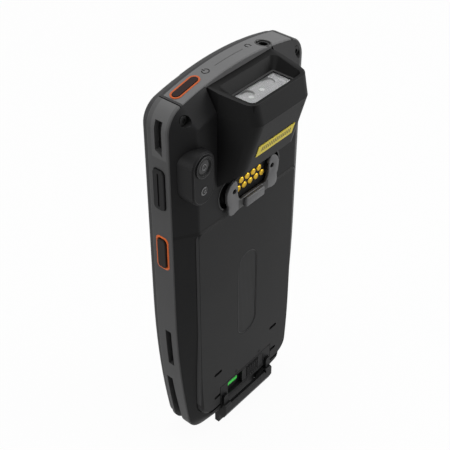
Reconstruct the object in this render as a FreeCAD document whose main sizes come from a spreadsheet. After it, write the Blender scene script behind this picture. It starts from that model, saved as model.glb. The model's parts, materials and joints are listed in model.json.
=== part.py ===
"""Portable barcode data terminal, modelled as separate named pieces.

Frame: millimetres, +Z up to the scanner end, -Y out of the back (scanner hood and battery),
+Y out of the display and keypad.  X is across the width, and X = 0 is the plane of symmetry.
"""
import FreeCAD, Part
import Sketcher
import math
import os

Vector = FreeCAD.Vector
os.makedirs("parts", exist_ok=True)
doc = FreeCAD.newDocument("data_terminal")

# Driving dimensions, in millimetres, in the order in which the terminal is built up
DIMENSIONS = {
    # outline of the body, seen from the back
    "half_width": 39.7,
    "top_corner_z": 179.6,
    "crown_radius": 131.6,
    "taper_start_z": 86.0,
    "taper_radius": 440.0,
    "bottom_corner_x": 32.3,
    "bottom_corner_z": 5.5,
    "bottom_radius": 118.0,
    "top_fillet": 10.2,
    "bottom_fillet": 11.0,
    # layers of the body, from the back to the front
    "plateau_y": -1.8,
    "band_back_y": 3.9,
    "band_front_y": 14.7,
    "face_y": 17.8,
    "bevel_width": 8.8,
    "bevel_depth": 5.5,
    "ridge_fillet": 2.6,
    "fit_gap": 0.1,
    "cut_reach": 350.0,
    # side bands and top trim
    "trim_wall": 2.4,
    "seam_x": 32.6,
    "low_seam_x": 24.0,
    "seam_gap": 0.4,
    "band_fillet": 0.6,
    "rear_inset": 0.5,
    "lanyard_top_z": 176.4,
    "lanyard_bottom_z": 161.8,
    "lanyard_back_y": 7.2,
    "lanyard_front_y": 10.7,
    "lanyard_slope": 2.0,
    "upper_slot_z": 61.5,
    "upper_slot_length": 21.0,
    "upper_slot_y": 8.8,
    "upper_slot_width": 3.2,
    "lower_slot_top_z": 40.4,
    "lower_slot_back_y": 9.7,
    "lower_slot_front_y": 12.9,
    "lower_slot_flare": 1.9,
    # front housing
    "rim_inset": 0.8,
    "rim_fillet": 1.6,
    "glass_half_width": 33.0,
    "glass_bottom_z": 71.0,
    "glass_top_z": 173.0,
    "glass_thickness": 1.4,
    "glass_corner": 4.0,
    "window_margin": 4.0,
    "panel_thickness": 2.6,
    "panel_gap": 0.1,
    "grille_sink": 0.7,
    "grille_depth": 1.3,
    "receiver_z": 178.0,
    "receiver_half_length": 7.0,
    "receiver_width": 1.6,
    "lens_offset_x": 19.0,
    "front_lens_radius": 1.5,
    "status_radius": 0.9,
    # keypad
    "key_travel": 0.5,
    "key_proud": 0.4,
    "key_gap": 0.25,
    "key_width": 14.5,
    "key_height": 7.8,
    "key_corner": 2.2,
    "key_pitch_x": 18.0,
    "key_pitch_z": 11.0,
    "first_row_z": 49.5,
    "nav_row_z": 62.0,
    "nav_pitch_x": 20.0,
    "nav_width": 13.0,
    "scan_width": 20.0,
    "mat_thickness": 1.2,
    "mat_margin": 1.0,
    # inner frame and electronics
    "frame_wall": 3.0,
    "web_y": 6.5,
    "web_thickness": 1.5,
    "board_thickness": 1.2,
    "board_margin": 3.0,
    # battery pack and its tilt-out bay
    "battery_half_width": 31.6,
    "battery_taper_z": 50.0,
    "battery_taper_radius": 375.0,
    "battery_low_corner": 8.0,
    "battery_edge_width": 1.1,
    "battery_edge_depth": 0.7,
    "battery_top_z": 124.3,
    "battery_bottom_z": 14.8,
    "battery_depth": 8.0,
    "battery_gap": 0.3,
    "battery_corner": 3.0,
    "battery_heel": 2.0,
    "notch_half_width": 18.4,
    "notch_top_z": 26.6,
    "badge_half_width": 6.4,
    "badge_height": 47.5,
    "badge_z": 72.65,
    "badge_depth": 0.3,
    "grip_slot_x": 19.7,
    "grip_slot_z": 37.1,
    "grip_slot_drop": 15.0,
    "grip_slot_length": 5.2,
    "grip_slot_width": 1.7,
    "grip_slot_depth": 1.5,
    # battery latch
    "latch_recess_bottom_z": 17.2,
    "latch_recess_height": 8.2,
    "latch_recess_half_width": 13.0,
    "latch_recess_depth": 2.0,
    "latch_travel": 10.0,
    "latch_gap": 0.3,
    "latch_recess_corner": 1.5,
    "latch_corner": 0.6,
    "latch_rib_pitch": 1.5,
    "latch_rib_proud": 0.4,
    "mark_length": 8.0,
    "mark_width": 1.8,
    "mark_thickness": 0.3,
    # strap bar at the lower end
    "strap_half_width": 17.0,
    "strap_leg": 4.0,
    "strap_height": 14.0,
    "strap_round": 0.7,
    "strap_bar_low_z": 5.2,
    "strap_bar_middle_z": 8.6,
    "strap_bar_top_z": 12.6,
    "strap_bar_proud": 2.4,
    "strap_bar_thickness": 2.0,
    "strap_bar_undercut": 1.4,
    "strap_foot_y": 0.4,
    "strap_ear_width": 3.0,
    "strap_ear_top_z": 20.0,
    "strap_ear_corner": 1.2,
    "strap_ear_y": -3.0,
    "strap_notch_top_z": 15.6,
    "strap_floor_y": 2.7,
    # scanner hood
    "hood_half_width": 19.5,
    "hood_bottom_z": 141.0,
    "hood_face_bottom_z": 149.2,
    "hood_face_bottom_y": -11.3,
    "hood_break_z": 172.8,
    "hood_break_y": -18.2,
    "hood_break_half_width": 15.8,
    "hood_bottom_half_width": 16.2,
    "hood_rim_half_width": 16.6,
    "hood_rim_front_z": 181.1,
    "hood_rim_front_y": -15.6,
    "hood_rim_back_z": 183.1,
    "hood_rim_side": 18.7,
    "hood_corner": 4.5,
    "hood_cut_rise": 1.0,
    "funnel_front_half_width": 15.6,
    "funnel_back_half_width": 17.5,
    "funnel_front_y": -15.6,
    "funnel_back_y": 1.2,
    "funnel_corner": 3.0,
    "window_half_width": 12.9,
    "window_front_y": -13.0,
    "window_back_y": -1.8,
    "window_z": 178.6,
    "window_thickness": 1.2,
    "window_ledge": 0.4,
    "window_corner": 1.5,
    "engine_half_width": 12.0,
    "engine_bottom_z": 155.0,
    "engine_top_z": 175.6,
    "engine_front_y": -8.3,
    "engine_gap": 0.3,
    "engine_head_gap": 0.2,
    "engine_port_radius": 2.6,
    "engine_port_depth": 0.9,
    # contact block and grip bracket
    "recess_half_width": 19.4,
    "recess_height": 14.2,
    "recess_z": 134.6,
    "recess_depth": 1.6,
    "block_half_width": 9.8,
    "block_height": 12.6,
    "block_z": 132.9,
    "block_y": -2.1,
    "contact_radius": 1.3,
    "contact_pitch": 3.68,
    "contact_row_z": 137.0,
    "contact_row_drop": 3.27,
    "contact_proud": 0.3,
    "contact_depth": 1.2,
    "block_corner": 1.3,
    "block_foot": 0.8,
    "bracket_thickness": 1.3,
    "bracket_back_y": -3.7,
    "bracket_half_width": 17.5,
    "bracket_inner_half_width": 8.9,
    "bracket_top_z": 140.3,
    "bracket_bottom_z": 124.6,
    "bracket_bar_height": 5.0,
    "bracket_bar_proud": 1.2,
    "bracket_ear_radius": 3.4,
    "bracket_inner_radius": 1.7,
    "bracket_foot_step": 1.1,
    "grip_hole_x": 11.8,
    "grip_hole_z": 135.6,
    "grip_hole_radius": 1.1,
    "boss_radius": 2.6,
    # rear camera
    "camera_x": -31.0,
    "camera_z": 158.5,
    "flash_z": 147.6,
    "camera_radius": 6.3,
    "camera_face_y": -5.3,
    "camera_foot_y": 2.7,
    "camera_ring_radius": 4.4,
    "camera_ring_width": 1.1,
    "camera_ring_proud": 0.5,
    "camera_edge": 0.5,
    "camera_ring_edge": 0.25,
    "flash_radius": 2.0,
    # keys in the bands
    "band_key_y": 9.3,
    "volume_z": 146.3,
    "volume_length": 19.0,
    "volume_width": 6.2,
    "volume_proud": 0.8,
    "volume_round": 0.4,
    "volume_groove_radius": 0.4,
    "scan_key_z": 115.2,
    "scan_frame_length": 16.4,
    "scan_frame_width": 6.6,
    "scan_frame_rim": 0.9,
    "switch_room": 1.2,
    "scan_frame_proud": 0.3,
    "band_key_proud": 0.9,
    "band_key_travel": 0.6,
    "band_key_clearance": 0.2,
    "band_key_corner": 2.1,
    "band_key_round": 0.45,
    "power_x": -24.2,
    "power_ring_length": 14.4,
    "power_ring_width": 5.0,
    "power_ring_rim": 0.7,
    "power_ring_depth": 1.6,
    "power_proud": 0.3,
    "power_travel": 0.5,
    "power_key_depth": 2.8,
    "cut_lead": 2.0,
    # sockets and screws
    "jack_x": 18.2,
    "jack_y": 7.2,
    "jack_ring_radius": 3.2,
    "jack_body_radius": 2.9,
    "jack_bore_radius": 1.8,
    "jack_bore_depth": 14.0,
    "jack_body_length": 17.0,
    "jack_sink": 0.8,
    "jack_board_gap": 0.75,
    "usb_half_width": 4.6,
    "usb_height": 3.4,
    "usb_corner": 1.1,
    "usb_wall": 0.35,
    "usb_length": 8.0,
    "usb_mouth_depth": 6.4,
    "usb_tongue_half_width": 3.0,
    "usb_tongue_length": 7.2,
    "usb_low_z": 2.75,
    "usb_y": 9.3,
    "screw_x": 33.0,
    "screw_z": 176.4,
    "screw_well_radius": 2.2,
    "screw_head_radius": 1.95,
    "screw_head_height": 0.9,
    "screw_shank_radius": 0.9,
    "screw_length": 7.0,
    "screw_seat_y": 3.2,
    "speaker_z": 150.0,
    "speaker_half_width": 9.0,
    "speaker_thickness": 2.6,
    "blade_pitch": 3.0,
    "blade_width": 1.2,
    "blade_length": 4.0,
}

sheet = doc.addObject("Spreadsheet::Sheet", "Sizes")
for row, (name, value) in enumerate(DIMENSIONS.items(), start=1):
    sheet.set(f"A{row}", name.replace("_", " "))
    sheet.set(f"B{row}", str(value))
    sheet.setAlias(f"B{row}", name)
doc.recompute()


class Size:
    """A size with its value and the formula that binds it to the sheet."""

    def __init__(self, formula, value):
        self.formula = formula
        self.value = value

    def join(self, sign, other, value):
        return Size(f"({self.formula} {sign} {as_size(other).formula})", value)

    def __add__(self, other):
        return self.join("+", other, self.value + as_size(other).value)

    def __sub__(self, other):
        return self.join("-", other, self.value - as_size(other).value)

    def __mul__(self, other):
        return self.join("*", other, self.value * as_size(other).value)

    def __truediv__(self, other):
        return self.join("/", other, self.value / as_size(other).value)

    def __rsub__(self, other):
        return as_size(other) - self

    def __rmul__(self, other):
        return as_size(other) * self

    def __neg__(self):
        return Size(f"(-1 * {self.formula})", -self.value)

    def sqrt(self):
        return Size(f"sqrt({self.formula})", math.sqrt(self.value))


def as_size(number):
    return number if isinstance(number, Size) else Size(repr(float(number)), float(number))


class Sizes:
    """Every aliased cell of the sheet as a Size, so d.half_width is bound to its cell."""

    def __init__(self):
        for alias in DIMENSIONS:
            setattr(self, alias, Size(f"Sizes.{alias}", float(sheet.get(alias))))


d = Sizes()
built = []


def new_body(label):
    body = doc.addObject("PartDesign::Body", label)
    body.Label = label
    built.append(body)
    return body


def origin_plane(body, role):
    return [feature for feature in body.Origin.OriginFeatures if feature.Role == role][0]


# Each origin plane's normal, and the sign that turns a place on that axis into a sketch offset
PLANE_SIGN = {"XY_Plane": 1, "XZ_Plane": -1, "YZ_Plane": 1}


def new_sketch(body, role, place):
    """A sketch on an origin plane, moved to a place along that plane's own axis."""
    sketch = body.newObject("Sketcher::SketchObject", body.Name + "_sketch")
    sketch.AttachmentSupport = [(origin_plane(body, role), "")]
    sketch.MapMode = "FlatFace"
    offset = as_size(place) if PLANE_SIGN[role] > 0 else -as_size(place)
    sketch.setExpression("AttachmentOffset.Base.z", offset.formula)
    return sketch


def bind(sketch, rules):
    """Adds a list of constraints at once; a rule's size, where it has one, is bound to the sheet."""
    made = [Sketcher.Constraint(kind, *items) if size is None
            else Sketcher.Constraint(kind, *items, size.value) for kind, items, size in rules]
    numbers = sketch.addConstraint(made)
    for number, (kind, items, size) in zip(numbers, rules):
        if size is not None:
            sketch.setExpression(f"Constraints[{number}]", size.formula)


def arc_centre(start, end, radius, side):
    """Centre of an arc through two points; side 1 puts it left of start to end."""
    middle = (start + end) * 0.5
    along = end - start
    height = math.sqrt(max(radius ** 2 - (along.Length / 2) ** 2, 0.0))
    across = Vector(-along.y, along.x, 0).normalize()
    return middle + across * height * side


def add_path(sketch, points, arcs=None):
    """A closed path.  points are (across, up) sizes; arcs gives an edge's radius and centre side."""
    arcs = arcs or {}
    sizes = [(as_size(across), as_size(up)) for across, up in points]
    corners = [Vector(across.value, up.value, 0) for across, up in sizes]
    first = sketch.GeometryCount
    ends = []
    for number, start in enumerate(corners):
        end = corners[(number + 1) % len(corners)]
        index = first + number
        if number in arcs:
            radius, side = arcs[number]
            radius = as_size(radius)
            centre = arc_centre(start, end, radius.value, side)
            circle = Part.Circle(centre, Vector(0, 0, 1), radius.value)
            here, there = (start, end) if side > 0 else (end, start)
            low, high = circle.parameter(here), circle.parameter(there)
            if high < low:
                high += 2 * math.pi
            sketch.addGeometry(Part.ArcOfCircle(circle, low, high), False)
            ends.append((1, 2) if side > 0 else (2, 1))
        else:
            sketch.addGeometry(Part.LineSegment(start, end), False)
            ends.append((1, 2))
    rules = []
    for number, (across, up) in enumerate(sizes):
        following = (number + 1) % len(corners)
        index = first + number
        here, there = ends[number]
        rules.append(("Coincident", (index, there, first + following, ends[following][0]), None))
        rules.append(("DistanceX", (index, here), across))
        rules.append(("DistanceY", (index, here), up))
    for number, (radius, side) in arcs.items():
        rules.append(("Radius", (first + number,), as_size(radius)))
    bind(sketch, rules)


def add_box(sketch, left, low, right, high):
    add_path(sketch, [(left, low), (right, low), (right, high), (left, high)])


def add_round_box(sketch, left, low, right, high, corner):
    left, low, right, high, corner = [as_size(size) for size in (left, low, right, high, corner)]
    points = [
        (left + corner, low), (right - corner, low), (right, low + corner), (right, high - corner),
        (right - corner, high), (left + corner, high), (left, high - corner), (left, low + corner),
    ]
    add_path(sketch, points, {edge: (corner, 1) for edge in (1, 3, 5, 7)})


def add_circle(sketch, across, up, radius):
    across, up, radius = as_size(across), as_size(up), as_size(radius)
    centre = Vector(across.value, up.value, 0)
    index = sketch.addGeometry(Part.Circle(centre, Vector(0, 0, 1), radius.value), False)
    bind(sketch, [("DistanceX", (index, 3), across), ("DistanceY", (index, 3), up),
                  ("Radius", (index,), radius)])


def add_pill(sketch, near, far, radius):
    """A pill between the centres of its two round ends."""
    near_across, near_up, far_across, far_up, radius = [
        as_size(size) for size in (*near, *far, radius)]
    start = Vector(near_across.value, near_up.value, 0)
    end = Vector(far_across.value, far_up.value, 0)
    along = (end - start).normalize()
    turn = math.atan2(along.y, along.x)
    side = Vector(-along.y, along.x, 0) * radius.value
    first = sketch.GeometryCount
    sketch.addGeometry(Part.LineSegment(start - side, end - side), False)
    far_end = Part.Circle(end, Vector(0, 0, 1), radius.value)
    sketch.addGeometry(Part.ArcOfCircle(far_end, turn - math.pi / 2, turn + math.pi / 2), False)
    sketch.addGeometry(Part.LineSegment(end + side, start + side), False)
    near_end = Part.Circle(start, Vector(0, 0, 1), radius.value)
    sketch.addGeometry(Part.ArcOfCircle(near_end, turn + math.pi / 2, turn + 3 * math.pi / 2), False)
    rules = [("Tangent", (first + number, 2, first + (number + 1) % 4, 1), None)
             for number in range(4)]
    rules += [
        ("DistanceX", (first + 3, 3), near_across), ("DistanceY", (first + 3, 3), near_up),
        ("DistanceX", (first + 1, 3), far_across), ("DistanceY", (first + 1, 3), far_up),
        ("Radius", (first + 1,), radius),
    ]
    bind(sketch, rules)


def add_outline(sketch, inset=0.0):
    """The body's outline seen from the back, moved in by an inset, with sharp corners."""
    side = d.half_width - inset
    top = d.top_corner_z - inset
    low_x = d.bottom_corner_x - inset
    low_z = d.bottom_corner_z + inset
    points = [(-low_x, low_z), (low_x, low_z), (side, d.taper_start_z), (side, top), (-side, top),
              (-side, d.taper_start_z)]
    arcs = {
        0: (d.bottom_radius - inset, 1),
        1: (d.taper_radius - inset, 1),
        3: (d.crown_radius - inset, 1),
        5: (d.taper_radius - inset, 1),
    }
    add_path(sketch, points, arcs)


def pad(body, sketch, length):
    feature = body.newObject("PartDesign::Pad", body.Name + "_pad")
    feature.Profile = sketch
    feature.setExpression("Length", as_size(length).formula)
    doc.recompute()
    return feature


def pocket(body, sketch, depth=None, along_normal=False):
    """A pocket that must remove material, to a depth or through everything.

    It runs against its sketch's normal, so from a back plane towards +Y, unless told otherwise.
    """
    before = body.Shape.Volume
    feature = body.newObject("PartDesign::Pocket", body.Name + "_pocket")
    feature.Profile = sketch
    feature.Reversed = along_normal
    if depth is None:
        feature.Type = "ThroughAll"
    else:
        feature.setExpression("Length", as_size(depth).formula)
    doc.recompute()
    if not body.Shape.Volume < before - 1e-6:
        raise RuntimeError(f"{body.Label}: {feature.Name} removes nothing")
    return feature


def edges_where(feature, test):
    """Names of a feature's edges whose ends and middle pass a test."""
    names = []
    for number, edge in enumerate(feature.Shape.Edges, start=1):
        first, last = edge.ParameterRange
        middle = edge.valueAt((first + last) / 2)
        if test([edge.valueAt(first), middle, edge.valueAt(last)]):
            names.append(f"Edge{number}")
    if not names:
        raise RuntimeError(f"{feature.Label}: no edge passes the test")
    return names


def fillet(body, feature, test, radius):
    rounded = body.newObject("PartDesign::Fillet", body.Name + "_fillet")
    rounded.Base = (feature, edges_where(feature, test))
    rounded.setExpression("Radius", as_size(radius).formula)
    doc.recompute()
    return rounded


def chamfer(body, feature, test, size, second=None):
    """A chamfer of one size, or of a first and a second size on the two faces."""
    cut = body.newObject("PartDesign::Chamfer", body.Name + "_chamfer")
    cut.Base = (feature, edges_where(feature, test))
    cut.setExpression("Size", as_size(size).formula)
    if second is not None:
        cut.ChamferType = "Two distances"
        cut.setExpression("Size2", as_size(second).formula)
    doc.recompute()
    return cut


def all_at_y(size):
    return lambda points: all(abs(point.y - size.value) < 1e-4 for point in points)


def along_y_near(corners):
    """Edges along Y that stand at one of some (x, z) corners."""
    places = [(as_size(across).value, as_size(up).value) for across, up in corners]

    def test(points):
        straight = abs(points[0].x - points[2].x) < 1e-6 and abs(points[0].z - points[2].z) < 1e-6
        near = [math.hypot(points[1].x - across, points[1].z - up) < 0.05 for across, up in places]
        return straight and any(near)

    return test


def round_outline_corners(body, feature, inset=0.0):
    """The outline's two top corners and two bottom corners, at their own radii."""
    side = d.half_width - inset
    top = d.top_corner_z - inset
    low_x = d.bottom_corner_x - inset
    low_z = d.bottom_corner_z + inset
    feature = fillet(body, feature, along_y_near([(side, top), (-side, top)]), d.top_fillet - inset)
    low_corners = along_y_near([(low_x, low_z), (-low_x, low_z)])
    return fillet(body, feature, low_corners, d.bottom_fillet - inset)


def outline_slab(body, front, depth, inset=0.0):
    """A slab of the body's outline with rounded corners; front is its highest Y."""
    sketch = new_sketch(body, "XZ_Plane", front)
    add_outline(sketch, inset)
    return round_outline_corners(body, pad(body, sketch, depth), inset)


def add_battery_path(sketch, spread):
    """The battery's outline, grown by a spread, with the notch for the latch at its foot."""
    side = d.battery_half_width + spread
    radius = d.battery_taper_radius + spread
    top = d.battery_top_z + spread
    foot = d.battery_bottom_z - spread
    corner = d.battery_corner + spread
    low_corner = d.battery_low_corner + spread
    turn_z = foot + low_corner
    drop = d.battery_taper_z - turn_z
    low_x = side - radius + (radius * radius - drop * drop).sqrt()
    notch = d.notch_half_width - spread
    notch_top = d.notch_top_z - spread
    add_path(sketch, [
        (low_corner - low_x, foot), (-notch, foot), (-notch, notch_top), (notch, notch_top),
        (notch, foot), (low_x - low_corner, foot), (low_x, turn_z), (side, d.battery_taper_z),
        (side, top - corner), (side - corner, top), (corner - side, top), (-side, top - corner),
        (-side, d.battery_taper_z), (-low_x, turn_z)],
        {5: (low_corner, 1), 6: (radius, 1), 8: (corner, 1), 10: (corner, 1), 12: (radius, 1),
         13: (low_corner, 1)})


def list_keys():
    """Every key of the keypad: its name, centre and width."""
    keys = [
        ("key_menu", -d.nav_pitch_x, d.nav_row_z, d.nav_width),
        ("key_scan_front", as_size(0), d.nav_row_z, d.scan_width),
        ("key_back", d.nav_pitch_x, d.nav_row_z, d.nav_width),
    ]
    for row in range(4):
        for column in range(3):
            centre_x = d.key_pitch_x * (column - 1)
            centre_z = d.first_row_z - d.key_pitch_z * row
            keys.append((f"key_row{row + 1}_{column + 1}", centre_x, centre_z, d.key_width))
    return keys


KEYS = list_keys()
MAT_TOP = d.band_front_y - d.fit_gap
BOARD_BACK = d.web_y + d.web_thickness
FRAME_INSET = d.trim_wall + d.fit_gap


# Front: housing, glass, display, keypad

def build_front_housing():
    body = new_body("front_housing")
    slab = outline_slab(body, d.face_y, d.face_y - d.band_front_y, d.rim_inset)
    fillet(body, slab, all_at_y(d.face_y), d.rim_fillet)
    seat = new_sketch(body, "XZ_Plane", d.face_y)
    add_round_box(seat, -d.glass_half_width, d.glass_bottom_z, d.glass_half_width, d.glass_top_z,
                  d.glass_corner)
    pocket(body, seat, d.glass_thickness, along_normal=True)
    window = new_sketch(body, "XZ_Plane", d.face_y)
    add_box(window, d.window_margin - d.glass_half_width, d.glass_bottom_z + d.window_margin,
            d.glass_half_width - d.window_margin, d.glass_top_z - d.window_margin)
    pocket(body, window, along_normal=True)
    details = new_sketch(body, "XZ_Plane", d.face_y)
    half_slot = d.receiver_half_length - d.receiver_width / 2
    add_pill(details, (-half_slot, d.receiver_z), (half_slot, d.receiver_z), d.receiver_width / 2)
    add_circle(details, d.lens_offset_x, d.receiver_z, d.front_lens_radius)
    add_circle(details, -d.lens_offset_x, d.receiver_z, d.status_radius)
    pocket(body, details, along_normal=True)
    for name, centre_x, centre_z, width in KEYS:
        hole = new_sketch(body, "XZ_Plane", d.face_y)
        half_width = width / 2 + d.key_gap
        half_height = d.key_height / 2 + d.key_gap
        add_round_box(hole, centre_x - half_width, centre_z - half_height, centre_x + half_width,
                      centre_z + half_height, d.key_corner + d.key_gap)
        pocket(body, hole, along_normal=True)


def build_keys():
    back = MAT_TOP + d.key_travel + d.fit_gap
    front = d.face_y + d.key_proud
    for name, centre_x, centre_z, width in KEYS:
        body = new_body(name)
        cap = new_sketch(body, "XZ_Plane", front)
        add_round_box(cap, centre_x - width / 2, centre_z - d.key_height / 2, centre_x + width / 2,
                      centre_z + d.key_height / 2, d.key_corner)
        block = pad(body, cap, front - back)
        chamfer(body, block, all_at_y(front), d.key_proud)


def build_keypad_mat():
    body = new_body("keypad_mat")
    low_row = d.first_row_z - d.key_pitch_z * 3
    reach = d.key_pitch_x + d.key_width / 2 + d.mat_margin
    reach_up = d.key_height / 2 + d.mat_margin
    outline = new_sketch(body, "XZ_Plane", MAT_TOP)
    add_round_box(outline, -reach, low_row - reach_up, reach, d.nav_row_z + reach_up, d.key_corner)
    pad(body, outline, d.mat_thickness)


def build_display():
    glass = new_body("display_glass")
    face = new_sketch(glass, "XZ_Plane", d.face_y)
    edge = d.glass_half_width - d.fit_gap
    add_round_box(face, -edge, d.glass_bottom_z + d.fit_gap, edge, d.glass_top_z - d.fit_gap,
                  d.glass_corner)
    pad(glass, face, d.glass_thickness)
    panel = new_body("display_panel")
    shape = new_sketch(panel, "XZ_Plane", d.face_y - d.glass_thickness - d.panel_gap)
    margin = d.window_margin + d.fit_gap
    add_box(shape, margin - d.glass_half_width, d.glass_bottom_z + margin,
            d.glass_half_width - margin, d.glass_top_z - margin)
    pad(panel, shape, d.panel_thickness)


def build_front_details():
    grille = new_body("receiver_grille")
    slot = new_sketch(grille, "XZ_Plane", d.face_y - d.grille_sink)
    half_slot = d.receiver_half_length - d.receiver_width / 2
    add_pill(slot, (-half_slot, d.receiver_z), (half_slot, d.receiver_z), d.receiver_width / 2)
    pad(grille, slot, d.grille_depth)
    for name, side, radius in (("front_camera_lens", 1, d.front_lens_radius),
                               ("status_light", -1, d.status_radius)):
        body = new_body(name)
        disc = new_sketch(body, "XZ_Plane", d.face_y - d.fit_gap)
        add_circle(disc, d.lens_offset_x * side, d.receiver_z, radius)
        pad(body, disc, d.panel_thickness)


# Inner frame and electronics

def side_key_rooms():
    """The rectangles behind the keys in the side bands: side, centre height, length and width."""
    return [
        (-1, d.scan_key_z, d.scan_frame_length, d.scan_frame_width),
        (1, d.scan_key_z, d.scan_frame_length, d.scan_frame_width),
        (-1, d.volume_z, d.volume_length, d.volume_width),
    ]


def build_mid_frame():
    body = new_body("mid_frame")
    outline_slab(body, d.band_front_y, d.band_front_y - d.band_back_y, FRAME_INSET)
    bay = new_sketch(body, "XZ_Plane", d.band_back_y)
    add_battery_path(bay, d.battery_gap)
    pocket(body, bay, d.web_y - d.band_back_y)
    room = new_sketch(body, "XZ_Plane", d.band_front_y)
    add_outline(room, FRAME_INSET + d.frame_wall)
    pocket(body, room, d.band_front_y - BOARD_BACK, along_normal=True)
    jack = new_sketch(body, "XY_Plane", d.top_corner_z + d.top_fillet)
    add_circle(jack, d.jack_x, d.jack_y, d.jack_body_radius + d.fit_gap)
    pocket(body, jack, d.top_fillet + d.jack_body_length)
    usb = new_sketch(body, "XY_Plane", 0)
    reach = d.usb_half_width + d.fit_gap
    rise = d.usb_height / 2 + d.fit_gap
    add_round_box(usb, -reach, d.usb_y - rise, reach, d.usb_y + rise, d.usb_corner)
    pocket(body, usb, d.usb_length + d.frame_wall, along_normal=True)
    screws = new_sketch(body, "XZ_Plane", d.band_back_y)
    for side in (-1, 1):
        add_circle(screws, d.screw_x * side, d.screw_z, d.screw_shank_radius)
    pocket(body, screws, d.screw_length)
    power = tilted_sketch(body, -d.cut_lead)
    add_power_pill(power, -d.fit_gap)
    pocket(body, power, d.cut_lead + d.power_key_depth + d.power_travel + d.band_key_clearance)
    for side, centre_z, length, width in side_key_rooms():
        opening = new_sketch(body, "YZ_Plane", d.half_width * side)
        add_box(opening, d.band_key_y - width / 2, centre_z - length / 2,
                d.band_key_y + width / 2, centre_z + length / 2)
        pocket(body, opening, FRAME_INSET + d.switch_room, along_normal=side < 0)


def build_electronics():
    board = new_body("main_board")
    outline = new_sketch(board, "XZ_Plane", BOARD_BACK + d.board_thickness)
    add_outline(outline, FRAME_INSET + d.frame_wall + d.board_margin)
    pad(board, outline, d.board_thickness)
    notch = new_sketch(board, "XZ_Plane", BOARD_BACK)
    reach = d.jack_body_radius + d.jack_board_gap
    add_box(notch, d.jack_x - reach, jack_top() - d.jack_body_length - d.jack_board_gap,
            d.jack_x + reach, d.top_corner_z + d.top_fillet)
    pocket(board, notch)
    speaker = new_body("speaker")
    top = BOARD_BACK + d.board_thickness + d.speaker_thickness
    box = new_sketch(speaker, "XZ_Plane", top)
    add_round_box(box, -d.speaker_half_width, d.speaker_z - d.speaker_half_width / 2,
                  d.speaker_half_width, d.speaker_z + d.speaker_half_width / 2, d.key_corner)
    pad(speaker, box, d.speaker_thickness)
    blades = new_body("battery_contacts")
    row = new_sketch(blades, "XZ_Plane", d.web_y)
    high = d.battery_top_z - d.blade_length
    for number in range(4):
        centre = d.blade_pitch * (number - 1.5)
        add_box(row, centre - d.blade_width / 2, high - d.blade_length,
                centre + d.blade_width / 2, high)
    pad(blades, row, d.web_y - d.plateau_y - d.battery_depth - d.fit_gap)


# Bands round the edge

def keep_inside(body, points):
    """Cuts away all of a body that lies outside a path of (x, z) points."""
    far = d.cut_reach
    sketch = new_sketch(body, "XZ_Plane", d.plateau_y)
    add_box(sketch, -far * 2, -far * 2, far * 2, far * 2)
    add_path(sketch, points)
    return pocket(body, sketch)


def build_ring(name):
    """The whole band as a closed ring with rounded edges, before it is cut into pieces."""
    body = new_body(name)
    slab = outline_slab(body, d.band_front_y, d.band_front_y - d.band_back_y)
    slab = fillet(body, slab, all_at_y(d.band_back_y), d.band_fillet)
    fillet(body, slab, all_at_y(d.band_front_y), d.band_fillet)
    inner = new_sketch(body, "XZ_Plane", d.band_back_y)
    add_outline(inner, d.trim_wall)
    hollow = pocket(body, inner)
    round_outline_corners(body, hollow, d.trim_wall)
    return body


def build_side_band(name, side):
    body = build_ring(name)
    near = d.cut_reach
    seam = d.seam_x + d.seam_gap / 2
    low_seam = d.low_seam_x + d.seam_gap / 2
    points = [(near, -near), (low_seam, -near), (low_seam, d.taper_start_z), (seam, d.taper_start_z),
              (seam, near), (near, near)]
    keep_inside(body, [(across * side, up) for across, up in points])
    surface = d.half_width * side
    inward = side < 0
    openings = new_sketch(body, "YZ_Plane", surface)
    add_path(openings, [
        (d.lanyard_back_y, d.lanyard_bottom_z), (d.lanyard_front_y, d.lanyard_bottom_z + d.lanyard_slope),
        (d.lanyard_front_y, d.lanyard_top_z), (d.lanyard_back_y, d.lanyard_top_z)])
    add_box(openings, d.upper_slot_y - d.upper_slot_width / 2,
            d.upper_slot_z - d.upper_slot_length / 2, d.upper_slot_y + d.upper_slot_width / 2,
            d.upper_slot_z + d.upper_slot_length / 2)
    add_path(openings, [
        (d.lower_slot_back_y - d.lower_slot_flare, -d.bottom_fillet),
        (d.lower_slot_front_y, -d.bottom_fillet), (d.lower_slot_front_y, d.lower_slot_top_z),
        (d.lower_slot_back_y, d.lower_slot_top_z)])
    pocket(body, openings, d.half_width - d.low_seam_x - d.trim_wall, along_normal=inward)
    for key_side, centre_z, length, width in side_key_rooms():
        if key_side == side:
            opening = new_sketch(body, "YZ_Plane", surface)
            add_round_box(opening, d.band_key_y - width / 2, centre_z - length / 2,
                          d.band_key_y + width / 2, centre_z + length / 2, d.band_key_corner)
            pocket(body, opening, d.trim_wall * 2, along_normal=inward)


def crown_height(across):
    """Height of the crown's arc at a distance from the plane of symmetry."""
    corner_drop = (d.crown_radius * d.crown_radius - d.half_width * d.half_width).sqrt()
    return d.top_corner_z - corner_drop + (d.crown_radius * d.crown_radius
                                           - across * across).sqrt()


def jack_top():
    """Top of the audio jack's body, sunk a little below the crown."""
    return crown_height(d.jack_x) - d.jack_sink


def power_place():
    """The power key's place on the crown: its height and its tilt in degrees."""
    top_z = crown_height(d.power_x)
    tilt = Size(f"asin({d.power_x.formula} / {d.crown_radius.formula})",
                math.degrees(math.asin(d.power_x.value / d.crown_radius.value)))
    return top_z, tilt


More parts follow.
